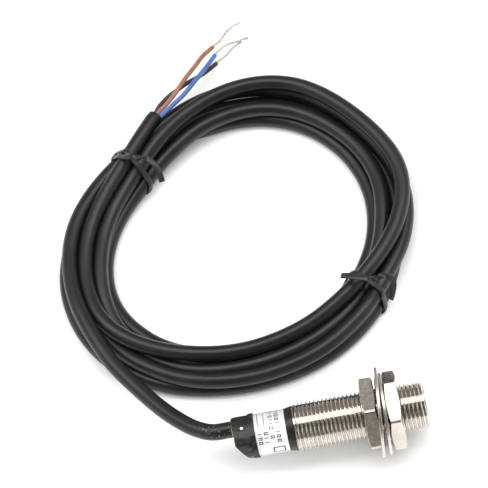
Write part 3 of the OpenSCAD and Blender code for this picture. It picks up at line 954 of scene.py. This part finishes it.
@dataclass(frozen=True)
class Tie:
    """A coated wire tie: a ribbon wrapped tightly round the bundle, twisted, with free tails.

    The wrap follows the strands that pass at its angle: at each direction across the bundle it
    lies on the strand that stands out furthest that way. A tail is a row of places in
    millimetres, (x, y, z) in the row frame; where it would sink into the cable it lies on it.
    Reach is how many degrees of the bundle the wrap looks at, slack is its gap to it, and wind
    is over what length the tails wind, by how many radians, and how far off their own line.
    """

    name: str
    angle: float
    swing: tuple[float, float]
    tails: tuple[tuple[Point, ...], ...]
    width: float = 1.55
    thick: float = 0.48
    rib: float = 0.5
    reach: float = 2.5
    slack: float = 0.12
    wind: tuple[float, float, float] = (3.4, 4.4, 0.32)

    def wrap(self, line: np.ndarray, cable: Cable) -> np.ndarray:
        """The ribbon's middle line once round the bundle.

        Args:
            line: the cable's middle line, in metres.
            cable: the cable's sizes.

        Returns:
            The closed loop's points, in metres.
        """
        p = line / MM
        away = p[:, :2] - np.array(cable.middle)
        angle = np.degrees(np.arctan2(away[:, 1], away[:, 0]))
        spans = np.abs((angle - self.angle + 180) % 360 - 180) < self.reach
        section = np.stack([np.linalg.norm(away, axis=1)[spans], p[spans, 2]], axis=1)
        out = np.linspace(0, 2 * math.pi, 73)[:-1]
        normal = np.stack([np.cos(out), np.sin(out)], axis=1)
        reach = cable.diameter / 2 + self.thick / 2 + self.slack
        loop = section[(normal @ section.T).argmax(axis=1)] + reach * normal
        for _ in range(3):
            loop = (np.roll(loop, 1, axis=0) + 2 * loop + np.roll(loop, -1, axis=0)) / 4
        loop[:, 1] = np.maximum(loop[:, 1], self.thick * (1 + self.rib) / 2 + 0.03)
        turn = np.radians(self.angle + self.swing[0] * np.sin(out) + self.swing[1] * np.cos(out))
        x = cable.middle[0] + loop[:, 0] * np.cos(turn)
        y = cable.middle[1] + loop[:, 0] * np.sin(turn)
        return np.stack([x, y, loop[:, 1]], axis=1) * MM

    def laid(self, tail: tuple[Point, ...], line: np.ndarray, cable: Cable) -> np.ndarray:
        """A tail's middle line, lifted where it would sink into the cable.

        Args:
            tail: its places, in millimetres.
            line: the cable's middle line, in metres.
            cable: the cable's sizes.

        Returns:
            Its points, in metres.
        """
        path = smooth_line(np.array(tail, float), 80)
        p = line[::2] / MM
        flat = np.linalg.norm(path[:, None, :2] - p[None, :, :2], axis=2)
        reach = cable.diameter / 2 + self.thick / 2 + 0.1
        top = p[None, :, 2] + np.sqrt(np.clip(reach**2 - flat**2, 0, None))
        hit = np.where(flat < reach, top, -1.0).max(axis=1)
        above = path[:, 2] > hit - reach
        lift = np.where(above, np.clip(hit - path[:, 2], 0, None), 0.0)
        for _ in range(6):
            lift[1:-1] = np.maximum(lift[1:-1], (lift[:-2] + lift[2:]) / 2)
        path[:, 2] += lift
        return path * MM

    def ribbon(self, name: str, line: np.ndarray, out: np.ndarray, closed: bool = False) -> Mesh:
        """A flat ribbon along a line, its broad side facing out, with a rib over its wire.

        Args:
            name: the mesh's name.
            line: its middle line.
            out: the direction its broad side faces at each point.
            closed: the ribbon joins itself.

        Returns:
            The ribbon.
        """
        tangent = np.gradient(line, axis=0)
        if closed:
            tangent = np.roll(line, -1, axis=0) - np.roll(line, 1, axis=0)
        tangent /= np.linalg.norm(tangent, axis=1)[:, None]
        out = out - (out * tangent).sum(1)[:, None] * tangent
        out /= np.linalg.norm(out, axis=1)[:, None]
        side = np.cross(tangent, out)
        profile = round_bar(self.width, self.thick, 3.0, 18) * MM
        profile[:, 1] *= 1 + self.rib * np.exp(-((profile[:, 0] / (0.25 * MM)) ** 2))
        broad = profile[None, :, :1] * side[:, None, :]
        deep = profile[None, :, 1:] * out[:, None, :]
        return surface(name, line[:, None, :] + broad + deep, close_rows=closed, sharp=50.0)

    def build(self, shop: Workshop, line: np.ndarray, cable: Cable) -> bpy.types.Object:
        """Makes the tie.

        The first millimetres of its tails wind round each other, half a turn apart, and each
        ribbon turns about its own line as it winds.

        Args:
            shop: where pieces are made.
            line: the cable's middle line.
            cable: the cable's sizes.

        Returns:
            The tie's piece.
        """
        loop = self.wrap(line, cable)
        parts = [self.ribbon("wrap", loop, loop - loop.mean(axis=0), closed=True)]
        length, radians, off = self.wind
        for k, tail in enumerate(self.tails):
            path = self.laid(tail, line, cable)
            left = np.clip(length * MM - along(path), 0, None) / (length * MM)
            face = radians * left
            turn = face + k * math.pi
            side, up = carried_frames(path)
            out = up * np.cos(face)[:, None] + side * np.sin(face)[:, None]
            aside = up * np.cos(turn)[:, None] + side * np.sin(turn)[:, None]
            fade = np.clip(left * 3, 0, 1)[:, None]
            parts.append(self.ribbon(f"tail{k}", path + off * MM * fade * aside, out))
        look = Finish(
            "tie_plastic", colour=(0.012, 0.012, 0.012), tint=(0.024, 0.024, 0.025),
            rough=(0.3, 0.5), grain=2200.0, relief=0.2, depth=0.00005, specular=0.5
        )
        mesh = joined(self.name + "_twist", parts)
        return shop.piece(mesh, look, "root", "tie_plastic", (self.name,))


# ---------------------------------------------------------------- the sensor


@dataclass
class Barrel:
    """The nickel-plated barrel with its real helical thread."""

    pitch: float = 1.0
    depth: float = 0.62
    chamfer: float = 0.62
    around: int = 120
    per_pitch: int = 12
    wall: float = 1.2
    lip: float = 0.12
    bevel: tuple[float, float] = (0.3, 0.15)

    def thread(self, axis: Axis) -> Mesh:
        """The barrel: bore, rear face, threaded outside and front face.

        The outside's radius falls from the crest by the thread's depth in a rounded V whose
        phase is the distance along the barrel less the turn about it, so that one turn right
        moves a crest one pitch forward. Both ends are held under a 45 degree chamfer.

        Args:
            axis: the sensor's axis.

        Returns:
            The barrel's mesh.
        """
        low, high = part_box("barrel")
        outer = (high.z - low.z) / 2
        bore = outer - self.wall * MM
        length = high.x - low.x
        rows = int(length / MM / self.pitch * self.per_pitch) + 1
        x = np.linspace(0, length, rows)
        a = np.linspace(0, 2 * math.pi, self.around, endpoint=False)
        phase = np.mod(x[:, None] / (self.pitch * MM) - a[None, :] / (2 * math.pi), 1.0)
        v = np.abs(2 * phase - 1)
        groove = np.clip((v - 0.1) / 0.8, 0, 1)
        groove = groove * groove * (3 - 2 * groove) * 0.35 + groove * 0.65
        r = outer - self.depth * MM * groove
        ends = np.minimum(x, length - x)[:, None]
        limit = outer - self.chamfer * MM + np.maximum(ends - self.lip * MM, 0)
        r = np.minimum(r, limit)
        rim = np.full((1, self.around), outer - (self.chamfer + self.lip / 2) * MM)
        inner = np.full((1, self.around), bore)
        depth, step = (v * MM for v in self.bevel)
        start, end = [length * 0.5, depth, 0.0, 0.0], [length, length, length - depth]
        xs = np.concatenate([start, x, end])
        rs = np.vstack([inner, inner, inner + step, rim, r, rim, inner + step, inner])
        points = axis.ring(axis.rear + xs[:, None], rs, a[None, :])
        return surface("barrel_threaded", points, close_rows=True, sharp=28.0)

    def build(self, shop: Workshop, axis: Axis) -> None:
        """Makes the barrel.

        Args:
            shop: where pieces are made.
            axis: the sensor's axis.
        """
        look = WornMetal(
            "nickel_plate", colour=(0.68, 0.645, 0.6), tint=(0.6, 0.56, 0.51), metallic=1.0,
            rough=(0.08, 0.15), grain=700.0, relief=0.03, depth=0.00002, pattern=Pattern.TURNED,
            stain=0.2
        )
        shop.piece(self.thread(axis), look, "root", "nickel_plate", ("barrel",))


@dataclass
class Nut:
    """A thin hexagon nut with turned chamfers on both faces and a countersunk thread."""

    node: str
    body: str
    round_corner: float = 70.0
    bore: float = 6.05
    cone_start: float = 0.2
    cone_slope: float = 2.9
    rim: float = 0.3
    sink: tuple[float, float] = (0.4, 0.45)

    def build(self, shop: Workshop, axis: Axis) -> None:
        """Makes the nut.

        The outside's radius is the smaller of the hexagon's and of a steep cone's from each
        face, which leaves the curved edges that a turned chamfer gives. The hexagon is
        a smooth maximum over its six sides, so its corners are slightly rounded.

        Args:
            shop: where pieces are made.
            axis: the sensor's axis.
        """
        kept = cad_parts[self.node].data
        co = np.zeros(len(kept.vertices) * 3, np.float32)
        kept.vertices.foreach_get("co", co)
        co = co.reshape(-1, 3).astype(float)
        y, z = co[:, 1], co[:, 2] - axis.height
        far = np.hypot(y, z)
        corner = math.atan2(z[far.argmax()], y[far.argmax()])
        flat = far.max() * math.cos(math.pi / 6)
        bore = self.bore * MM
        x0, x1 = co[:, 0].min(), co[:, 0].max()
        a = np.linspace(0, 2 * math.pi, 216, endpoint=False) + corner
        sides = corner + math.pi / 6 + np.arange(6) * math.pi / 3
        cosines = np.clip(np.cos(a[:, None] - sides[None, :]), 0, None)
        steep = (cosines**self.round_corner).sum(axis=1) ** (1 / self.round_corner)
        hexagon = flat / steep
        middle = np.linspace(0.3, 0.7, 5)[1:-1]
        t = np.concatenate([np.linspace(0, 0.3, 17), middle, np.linspace(0.7, 1, 17)])
        x = x0 + t * (x1 - x0)
        edge = np.minimum(x - x0, x1 - x)[:, None]
        cone = flat - self.cone_start * MM + edge * self.cone_slope
        blend = 0.04 * MM
        gap = hexagon[None, :] - cone
        r = cone + 0.5 * (gap - np.sqrt(gap**2 + blend**2)) + blend * 0.1
        depth, step = (v * MM for v in self.sink)
        face = np.full((1, len(a)), flat - self.rim * MM)
        sink = np.full((1, len(a)), bore + step)
        hole = np.full((1, len(a)), bore)
        xs = np.concatenate([[(x0 + x1) / 2, x0 + depth, x0, x0], x, [x1, x1, x1 - depth]])
        rs = np.vstack([hole, hole, sink, face, r, face, sink, hole])
        look = WornMetal(
            "nut_nickel", colour=(0.66, 0.62, 0.565), tint=(0.56, 0.52, 0.465), metallic=1.0,
            rough=(0.2, 0.32), grain=420.0, relief=0.05, depth=0.00004, stain=0.4
        )
        points = axis.ring(xs[:, None], rs, a[None, :])
        mesh = surface(self.node + "_hexagon", points, close_rows=True, sharp=24.0)
        shop.piece(mesh, look, self.body, "nut_nickel", (self.node,))


@dataclass
class LockWasher:
    """A large thin lock washer: a ring with teeth twisted out of its plane towards the thread."""

    node: str
    body: str
    lean: float
    shift: float
    drop: float
    teeth: int = 12
    ring: float = 2.6
    thick: float = 0.72
    twist: float = 24.0
    tip: float = 6.4
    root: float = 0.7
    tooth_share: float = 0.55
    lean_clock: float = 120.0

    def build(self, shop: Workshop, axis: Axis) -> None:
        """Makes the washer, a little tipped on the thread as a loose one sits.

        Args:
            shop: where pieces are made.
            axis: the sensor's axis.
        """
        low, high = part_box(self.node)
        x = (low.x + high.x) / 2 + self.shift * MM
        outer = (high.z - low.z) / 2 - 0.02 * MM
        inner = outer - self.ring * MM
        half = self.thick / 2 * MM
        corners = [(x - half, inner), (x - half, outer), (x + half, outer), (x + half, inner)]
        ring = rounded_profile(corners, 0.16 * MM, closed=True)
        parts = [axis.turned("ring", ring, 144, closed=True)]
        root, tip = inner + self.root * MM, (self.tip + self.drop) * MM
        s = np.linspace(0, 1, 9)
        along_tooth = root + (tip - root) * s
        width = self.tooth_share * 2 * math.pi * inner / self.teeth * (1 - 0.3 * s)
        turn = np.radians(self.twist) * np.clip(s * 2.2, 0, 1)
        for k in range(self.teeth):
            profile = round_bar(1.0, 1.0, 5.0, 16)
            u = profile[None, :, 0] * width[:, None]
            w = profile[None, :, 1] * (self.thick * 0.94 * MM)
            across = u * np.cos(turn)[:, None] - w * np.sin(turn)[:, None]
            deep = u * np.sin(turn)[:, None] + w * np.cos(turn)[:, None]
            a = 2 * math.pi * k / self.teeth
            r = np.broadcast_to(along_tooth[:, None], across.shape)
            y = r * math.cos(a) - across * math.sin(a)
            z = axis.height + r * math.sin(a) + across * math.cos(a)
            points = np.stack([x + deep, y, z], axis=-1)
            parts.append(surface("tooth", points, sharp=35.0))
        mesh = joined(self.node + "_toothed", parts, 35.0)
        middle = Vector((x, 0.0, axis.height))
        # it leans about a line across the viewed side and hangs away from that side's top
        clock = math.radians(self.lean_clock)
        line = Vector((0.0, math.cos(clock), math.sin(clock)))
        down = Vector((0.0, -math.sin(clock), math.cos(clock))) * self.drop * MM
        lean = Matrix.Rotation(math.radians(self.lean), 4, line)
        tip_over = Matrix.Translation(middle + down) @ lean
        mesh.transform(tip_over @ Matrix.Translation(-middle))
        look = WornMetal(
            "washer_steel", colour=(0.72, 0.69, 0.64), tint=(0.6, 0.57, 0.52), metallic=1.0,
            rough=(0.3, 0.42), grain=520.0, relief=0.2, depth=0.00004, stain=0.5
        )
        shop.piece(mesh, look, self.body, "washer_steel", (self.node,))


@dataclass
class Rear:
    """Behind the thread: the black collar and sleeve, the wrapped label and the end cap."""

    sleeve_d: float = 10.0
    label_edge: float = 0.03
    label_lift: float = 0.05
    bead: float = 0.2

    def build(self, shop: Workshop, axis: Axis) -> None:
        """Makes the sleeve, label, cap and window; glue() makes the glue at the cable's entry.

        Args:
            shop: where pieces are made.
            axis: the sensor's axis.
        """
        black = Finish(
            "black_plastic", colour=(0.009, 0.009, 0.009), tint=(0.016, 0.015, 0.014),
            rough=(0.26, 0.42), grain=1300.0, relief=0.25, depth=0.00004, specular=0.4
        )
        shop.softened("rear_sleeve", black, "root", "black_plastic", 0.12 * MM)
        shop.softened("end_cap", black, "root", "black_plastic", 0.16 * MM)
        low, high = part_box("rating_label")
        r0, r1 = self.sleeve_d / 2 * MM, (high.z - low.z) / 2
        edge = self.label_edge * MM
        ends = [(low.x, r0), (low.x, r1 - edge), (low.x + edge, r1)]
        ends += [(high.x - edge, r1), (high.x, r1 - edge), (high.x, r0)]
        a = np.linspace(0, 2 * math.pi, 144, endpoint=False)
        p = np.array(ends)
        # the foil's overlap lifts one line along the sleeve by a fraction of its thickness
        lift = self.label_lift * MM * np.exp(-((np.mod(a - 2.4, 2 * math.pi) / 0.5) ** 2))
        r = p[:, 1, None] + np.where(p[:, 1, None] > r0, lift[None, :], 0.0)
        points = axis.ring(p[:, 0, None], r, a[None, :])
        mesh = surface("label_foil_wrap", points, close_rows=True, sharp=30.0)
        foil = LabelFoil(
            "label_foil", colour=(0.8, 0.8, 0.83), tint=(0.7, 0.7, 0.74), metallic=0.25,
            rough=(0.26, 0.38), grain=1500.0, relief=0.1, depth=0.00003
        )
        shop.piece(mesh, foil, "root", "label_foil", ("rating_label",))
        # painted highlight: the light window is pale and glows faintly, though it is no lamp,
        # standing for the white highlight on its lens
        pale = Finish(
            "window_plastic", colour=(0.85, 0.84, 0.8), tint=(0.7, 0.69, 0.64), rough=(0.2, 0.35),
            grain=1200.0, painted_glow=0.1
        )
        shop.dress("light_window", pale)

    def glue(self, shop: Workshop, axis: Axis, start: Point) -> None:
        """A thin pale bead of glue where the cable enters the neck.

        Args:
            shop: where pieces are made.
            axis: the sensor's axis; not used.
            start: the point where the cable leaves the neck.
        """
        a = np.linspace(0, 2 * math.pi, 72, endpoint=False)
        b = np.linspace(0, 2 * math.pi, 13)[:-1]
        fat = (self.bead + 0.08 * np.sin(3 * a + 0.4) + 0.05 * np.sin(7 * a))[:, None] * MM
        ring = 2.0 * MM + fat * np.cos(b)[None, :]
        x = start[0] + 0.05 * MM + fat * np.sin(b)[None, :]
        y = start[1] + ring * np.cos(a)[:, None]
        z = start[2] + ring * np.sin(a)[:, None]
        points = np.stack([x, y, z], axis=-1)
        look = Finish(
            "glue_bead", colour=(0.5, 0.48, 0.42), tint=(0.12, 0.12, 0.11), rough=(0.25, 0.4),
            grain=900.0, relief=0.3
        )
        shop.piece(surface("cable_glue", points, close_rows=True), look, "root", "potting_resin")


@dataclass
class Inside:
    """What is sealed in the sensor, and its sensing face: CAD nodes that keep their shape."""

    def build(self, shop: Workshop) -> None:
        """Dresses each inner node in its own finish.

        Args:
            shop: where finishes are made.
        """
        for node, look in INNER.items():
            shop.dress(node, look)
        jacket = Finish(
            "cable_pvc_inside", (0.012, 0.012, 0.013), (0.02, 0.02, 0.02), (0.35, 0.5), 2000.0
        )
        shop.dress("cable_stub", jacket)
        for core in CORES:
            shop.dress("core_" + core.name, core.cover())


# ---------------------------------------------------------------- the room


@dataclass
class Studio:
    """A plain pale table under one large soft light, with dark walls for the metal to show.

    The tones are the room's light from the front (0) to the back (1), and sides is what both
    sides of it give.
    """

    place: Point = (0.01925, -0.25867, 0.55364)
    azimuth: float = 6.0
    elevation: float = 60.0
    roll: float = 15.83
    lens: float = 183.69
    tones: tuple[tuple[float, Colour], ...] = (
        (0.0, (0.24, 0.22, 0.195)), (0.11, (0.13, 0.118, 0.104)), (0.24, (0.026, 0.023, 0.02)),
        (0.42, (0.026, 0.023, 0.02)), (0.58, (0.36, 0.345, 0.32)), (1.0, (0.32, 0.3, 0.28))
    )
    sides: Colour = (0.78, 0.755, 0.71)
    table_half: float = 3.0

    def camera(self) -> None:
        """The camera: level with the table's edge, then turned about its own line of sight."""
        a, e, r = (math.radians(v) for v in (self.azimuth, self.elevation, self.roll))
        level = np.array([math.cos(a), math.sin(a), 0.0])
        ahead = np.array([-math.sin(a) * math.cos(e), math.cos(a) * math.cos(e), -math.sin(e)])
        above = np.cross(level, ahead)
        right = math.cos(r) * level - math.sin(r) * above
        up = math.sin(r) * level + math.cos(r) * above
        data = bpy.data.cameras.new("camera")
        data.lens, data.sensor_width = self.lens, 36.0
        data.clip_start, data.clip_end = 0.01, 20.0
        made = bpy.data.objects.new("camera", data)
        turn = Matrix((right, up, -ahead)).transposed().to_4x4()
        made.matrix_world = Matrix.Translation(self.place) @ turn
        bpy.context.scene.collection.objects.link(made)
        bpy.context.scene.camera = made

    def table(self) -> None:
        """A wide matt white table."""
        half = self.table_half
        mesh = bpy.data.meshes.new("table")
        mesh.from_pydata(
            [(-half, -half, 0), (half, -half, 0), (half, half, 0), (-half, half, 0)], [],
            [(0, 1, 2, 3)]
        )
        made = bpy.data.objects.new("table", mesh)
        bpy.context.scene.collection.objects.link(made)
        white = Finish(
            "table_white", (0.93, 0.93, 0.93), (0.92, 0.92, 0.92), rough=(0.8, 0.9), grain=8.0,
            relief=0.0
        )
        mesh.materials.append(white.build())

    def light(
        self, name: str, place: Point, target: Point, size: tuple[float, float], power: float,
        colour: Colour
    ) -> bpy.types.Object:
        """One rectangular light.

        Args:
            name: its name.
            place: where it stands.
            target: what it faces.
            size: its width and height.
            power: its power in watts.
            colour: its colour.

        Returns:
            The light.
        """
        data = bpy.data.lights.new(name, "AREA")
        data.shape, data.size, data.size_y = "RECTANGLE", *size
        data.energy, data.color = power, colour
        made = bpy.data.objects.new(name, data)
        made.location = place
        made.rotation_mode = "QUATERNION"
        made.rotation_quaternion = (Vector(target) - Vector(place)).to_track_quat("-Z", "Y")
        bpy.context.scene.collection.objects.link(made)
        return made

    def room(self) -> None:
        """The room's own light: grey behind, pale at both sides, dark where the camera stands."""
        world = bpy.data.worlds.new("room")
        world.use_nodes = True
        nodes, links = world.node_tree.nodes, world.node_tree.links
        coords = nodes.new("ShaderNodeTexCoord")
        split = nodes.new("ShaderNodeSeparateXYZ")
        links.new(coords.outputs["Generated"], split.inputs[0])
        ramp = nodes.new("ShaderNodeValToRGB")
        spread = nodes.new("ShaderNodeMapRange")
        spread.inputs["From Min"].default_value = -1.0
        spread.inputs["From Max"].default_value = 1.0
        links.new(split.outputs["Y"], spread.inputs["Value"])
        links.new(spread.outputs["Result"], ramp.inputs["Fac"])
        marks = ramp.color_ramp.elements
        marks[0].position, marks[1].position = self.tones[0][0], self.tones[-1][0]
        for at, _ in self.tones[1:-1]:
            marks.new(at)
        for element, (_, tone) in zip(marks, self.tones):
            element.color = (*tone, 1.0)
        sideways = nodes.new("ShaderNodeMath")
        sideways.operation = "ABSOLUTE"
        links.new(split.outputs["X"], sideways.inputs[0])
        share = nodes.new("ShaderNodeMapRange")
        share.inputs["From Min"].default_value = 0.42
        share.inputs["From Max"].default_value = 0.72
        links.new(sideways.outputs[0], share.inputs["Value"])
        mix = nodes.new("ShaderNodeMix")
        mix.data_type = "RGBA"
        links.new(share.outputs["Result"], mix.inputs[0])
        links.new(ramp.outputs["Color"], mix.inputs[6])
        mix.inputs[7].default_value = (*self.sides, 1.0)
        links.new(mix.outputs[2], nodes["Background"].inputs["Color"])
        nodes["Background"].inputs["Strength"].default_value = 1.0
        bpy.context.scene.world = world

    def lights(self) -> None:
        """The large light overhead, a soft one that gloss doesn't show, and the room."""
        self.light(
            "overhead", (0.0, 0.22, 1.1), (0.0, 0.03, 0.0), (2.2, 0.62), 15.0, (1.0, 0.995, 0.985)
        )
        fill = self.light(
            "fill", (0.1, -0.9, 1.6), (0.0, 0.05, 0.0), (2.6, 2.6), 34.0, (0.99, 1.0, 1.0)
        )
        fill.visible_glossy = False
        self.room()
        scene = bpy.context.scene
        scene.view_settings.view_transform = "Standard"
        scene.view_settings.look = "None"


COPPER = WornMetal(
    "enamelled_copper", (0.6, 0.25, 0.1), (0.45, 0.16, 0.06), (0.2, 0.35), 3000.0, 0.5,
    metallic=1.0, pattern=Pattern.TURNED, edge=(0.8, 0.42, 0.2)
)
CHIP = Finish("chip_plastic", (0.03, 0.03, 0.032), (0.05, 0.05, 0.05), (0.5, 0.65), 2600.0, 0.4)
INNER: dict[str, Finish] = {
    "sensing_face": Finish(
        "face_plastic", (0.05, 0.05, 0.05), (0.08, 0.08, 0.078), (0.4, 0.55), 1400.0, 0.25
    ),
    "ferrite_core": Finish(
        "ferrite", (0.03, 0.028, 0.027), (0.06, 0.055, 0.05), (0.5, 0.7), 2600.0, 0.4
    ),
    "coil_bobbin": Finish(
        "bobbin_plastic", (0.75, 0.72, 0.62), (0.65, 0.62, 0.52), (0.4, 0.5), 1500.0
    ),
    "coil_winding": COPPER, "coil_leads": COPPER,
    "circuit_board": Finish(
        "board_laminate", (0.02, 0.14, 0.06), (0.03, 0.2, 0.08), (0.3, 0.42), 1800.0, 0.3
    ),
    "oscillator_chip": CHIP, "output_transistor": CHIP, "voltage_regulator": CHIP,
    "chip_resistors": Finish(
        "resistor_ceramic", (0.05, 0.05, 0.055), (0.4, 0.4, 0.38), (0.4, 0.6), 1600.0
    ),
    "chip_capacitors": Finish(
        "capacitor_ceramic", (0.5, 0.38, 0.24), (0.42, 0.31, 0.2), (0.35, 0.5), 1600.0
    ),
    "tantalum_capacitor": Finish(
        "capacitor_resin", (0.8, 0.55, 0.12), (0.7, 0.45, 0.08), (0.3, 0.45), 1400.0
    ),
    "indicator_led": Finish(
        "led_resin", (0.8, 0.5, 0.1), (0.7, 0.4, 0.08), (0.15, 0.25), 1200.0, see_through=0.3
    ),
    "potting_plug": Finish(
        "potting_resin", (0.1, 0.09, 0.08), (0.16, 0.15, 0.13), (0.25, 0.4), 700.0
    )
}

CORES = (
    Core(
        "brown",
        (
            (-31.6, 96.6, 8.9), (-30.2, 98.0, 9.0), (-28.0, 99.8, 9.2), (-25.2, 102.8, 9.2),
            (-22.3, 106.6, 9.0), (-19.2, 110.7, 8.0), (-16.8, 114.1, 7.0), (-13.8, 117.0, 6.0)
        ),
        (
            (-14.2, 116.6, 6.15), (-13.2, 117.6, 5.9), (-11.8, 118.8, 5.5), (-9.9, 121.3, 5.0),
            (-8.0, 123.3, 4.5), (-5.9, 124.4, 4.1)
        ),
        (0.31, 0.135, 0.1), (0.24, 0.1, 0.07)
    ),
    Core(
        "blue",
        (
            (-31.2, 96.2, 8.2), (-29.8, 97.0, 8.3), (-28.0, 98.3, 8.6), (-25.8, 99.9, 8.8),
            (-23.5, 101.7, 8.8), (-21.1, 104.4, 8.4), (-18.3, 107.9, 7.6), (-16.1, 110.8, 6.8),
            (-13.6, 114.3, 6.0)
        ),
        (
            (-13.9, 113.9, 6.1), (-13.0, 115.2, 5.7), (-10.4, 117.4, 5.0), (-7.1, 118.4, 4.4),
            (-4.4, 119.2, 4.0)
        ),
        (0.07, 0.155, 0.42), (0.05, 0.115, 0.34)
    ),
    Core(
        "black",
        (
            (-32.1, 97.0, 8.2), (-31.2, 98.6, 8.0), (-29.9, 100.6, 7.8), (-27.6, 102.9, 7.5),
            (-25.2, 104.6, 7.2), (-21.8, 106.9, 6.6), (-19.2, 108.4, 5.9), (-16.6, 110.2, 5.2),
            (-13.6, 112.6, 4.6)
        ),
        (
            (-14.0, 112.3, 4.7), (-13.1, 113.1, 4.5), (-10.6, 115.0, 4.0), (-8.7, 117.2, 3.5),
            (-6.4, 118.9, 3.0)
        ),
        (0.02, 0.02, 0.021), (0.035, 0.035, 0.036)
    )
)

TIES = (
    Tie(
        "tie_left", angle=133.5, swing=(-2.6, -0.8),
        tails=(
            (
                (-37.0, 82.6, 13.6), (-36.6, 82.0, 14.0), (-34.6, 81.4, 14.0),
                (-33.0, 79.6, 13.6), (-32.1, 77.6, 12.5), (-31.8, 75.4, 11.0)
            ),
            (
                (-36.4, 81.6, 13.9), (-38.3, 82.9, 13.4), (-40.4, 84.2, 12.2), (-42.5, 86.5, 9.4),
                (-44.1, 87.9, 6.0), (-45.1, 88.3, 3.2), (-45.5, 87.9, 1.4)
            )
        )
    ),
    Tie(
        "tie_right", angle=324.2, swing=(2.2, -0.6),
        tails=(
            (
                (18.9, 34.4, 14.0), (16.6, 34.8, 14.0), (14.2, 35.7, 13.8), (12.5, 36.5, 13.4),
                (10.9, 37.5, 12.8), (9.3, 38.3, 12.0)
            ),
            (
                (18.2, 34.9, 14.2), (20.4, 34.8, 14.0), (21.4, 34.2, 13.0), (21.5, 33.3, 11.5),
                (21.0, 32.5, 9.5), (20.2, 31.7, 7.5)
            )
        )
    )
)


def main() -> None:
    """Builds everything: camera and cable first, then the sensor's pieces and the room."""
    logging.basicConfig(level=logging.INFO, format="%(name)s %(message)s")
    studio = Studio()
    studio.camera()
    shop = Workshop({})
    cable = Cable()
    jacket, line = cable.build(shop)
    going = [piece for core in CORES for piece in core.build(shop)]
    going += [tie.build(shop, line, cable) for tie in TIES]
    axis = Axis.measured()
    Barrel().build(shop, axis)
    Nut("rear_nut", "rear_nut").build(shop, axis)
    Nut("front_nut", "front_nut").build(shop, axis)
    LockWasher("rear_lock_washer", "rear_washer", lean=-4.6, shift=0.0, drop=0.0).build(shop, axis)
    LockWasher(
        "front_lock_washer", "front_washer", lean=-1.6, shift=-0.05, drop=0.5
    ).build(shop, axis)
    rear = Rear()
    rear.build(shop, axis)
    rear.glue(shop, axis, tuple(v * MM for v in cable.exit))
    Inside().build(shop)
    studio.table()
    studio.lights()


if __name__ == "__main__":
    main()
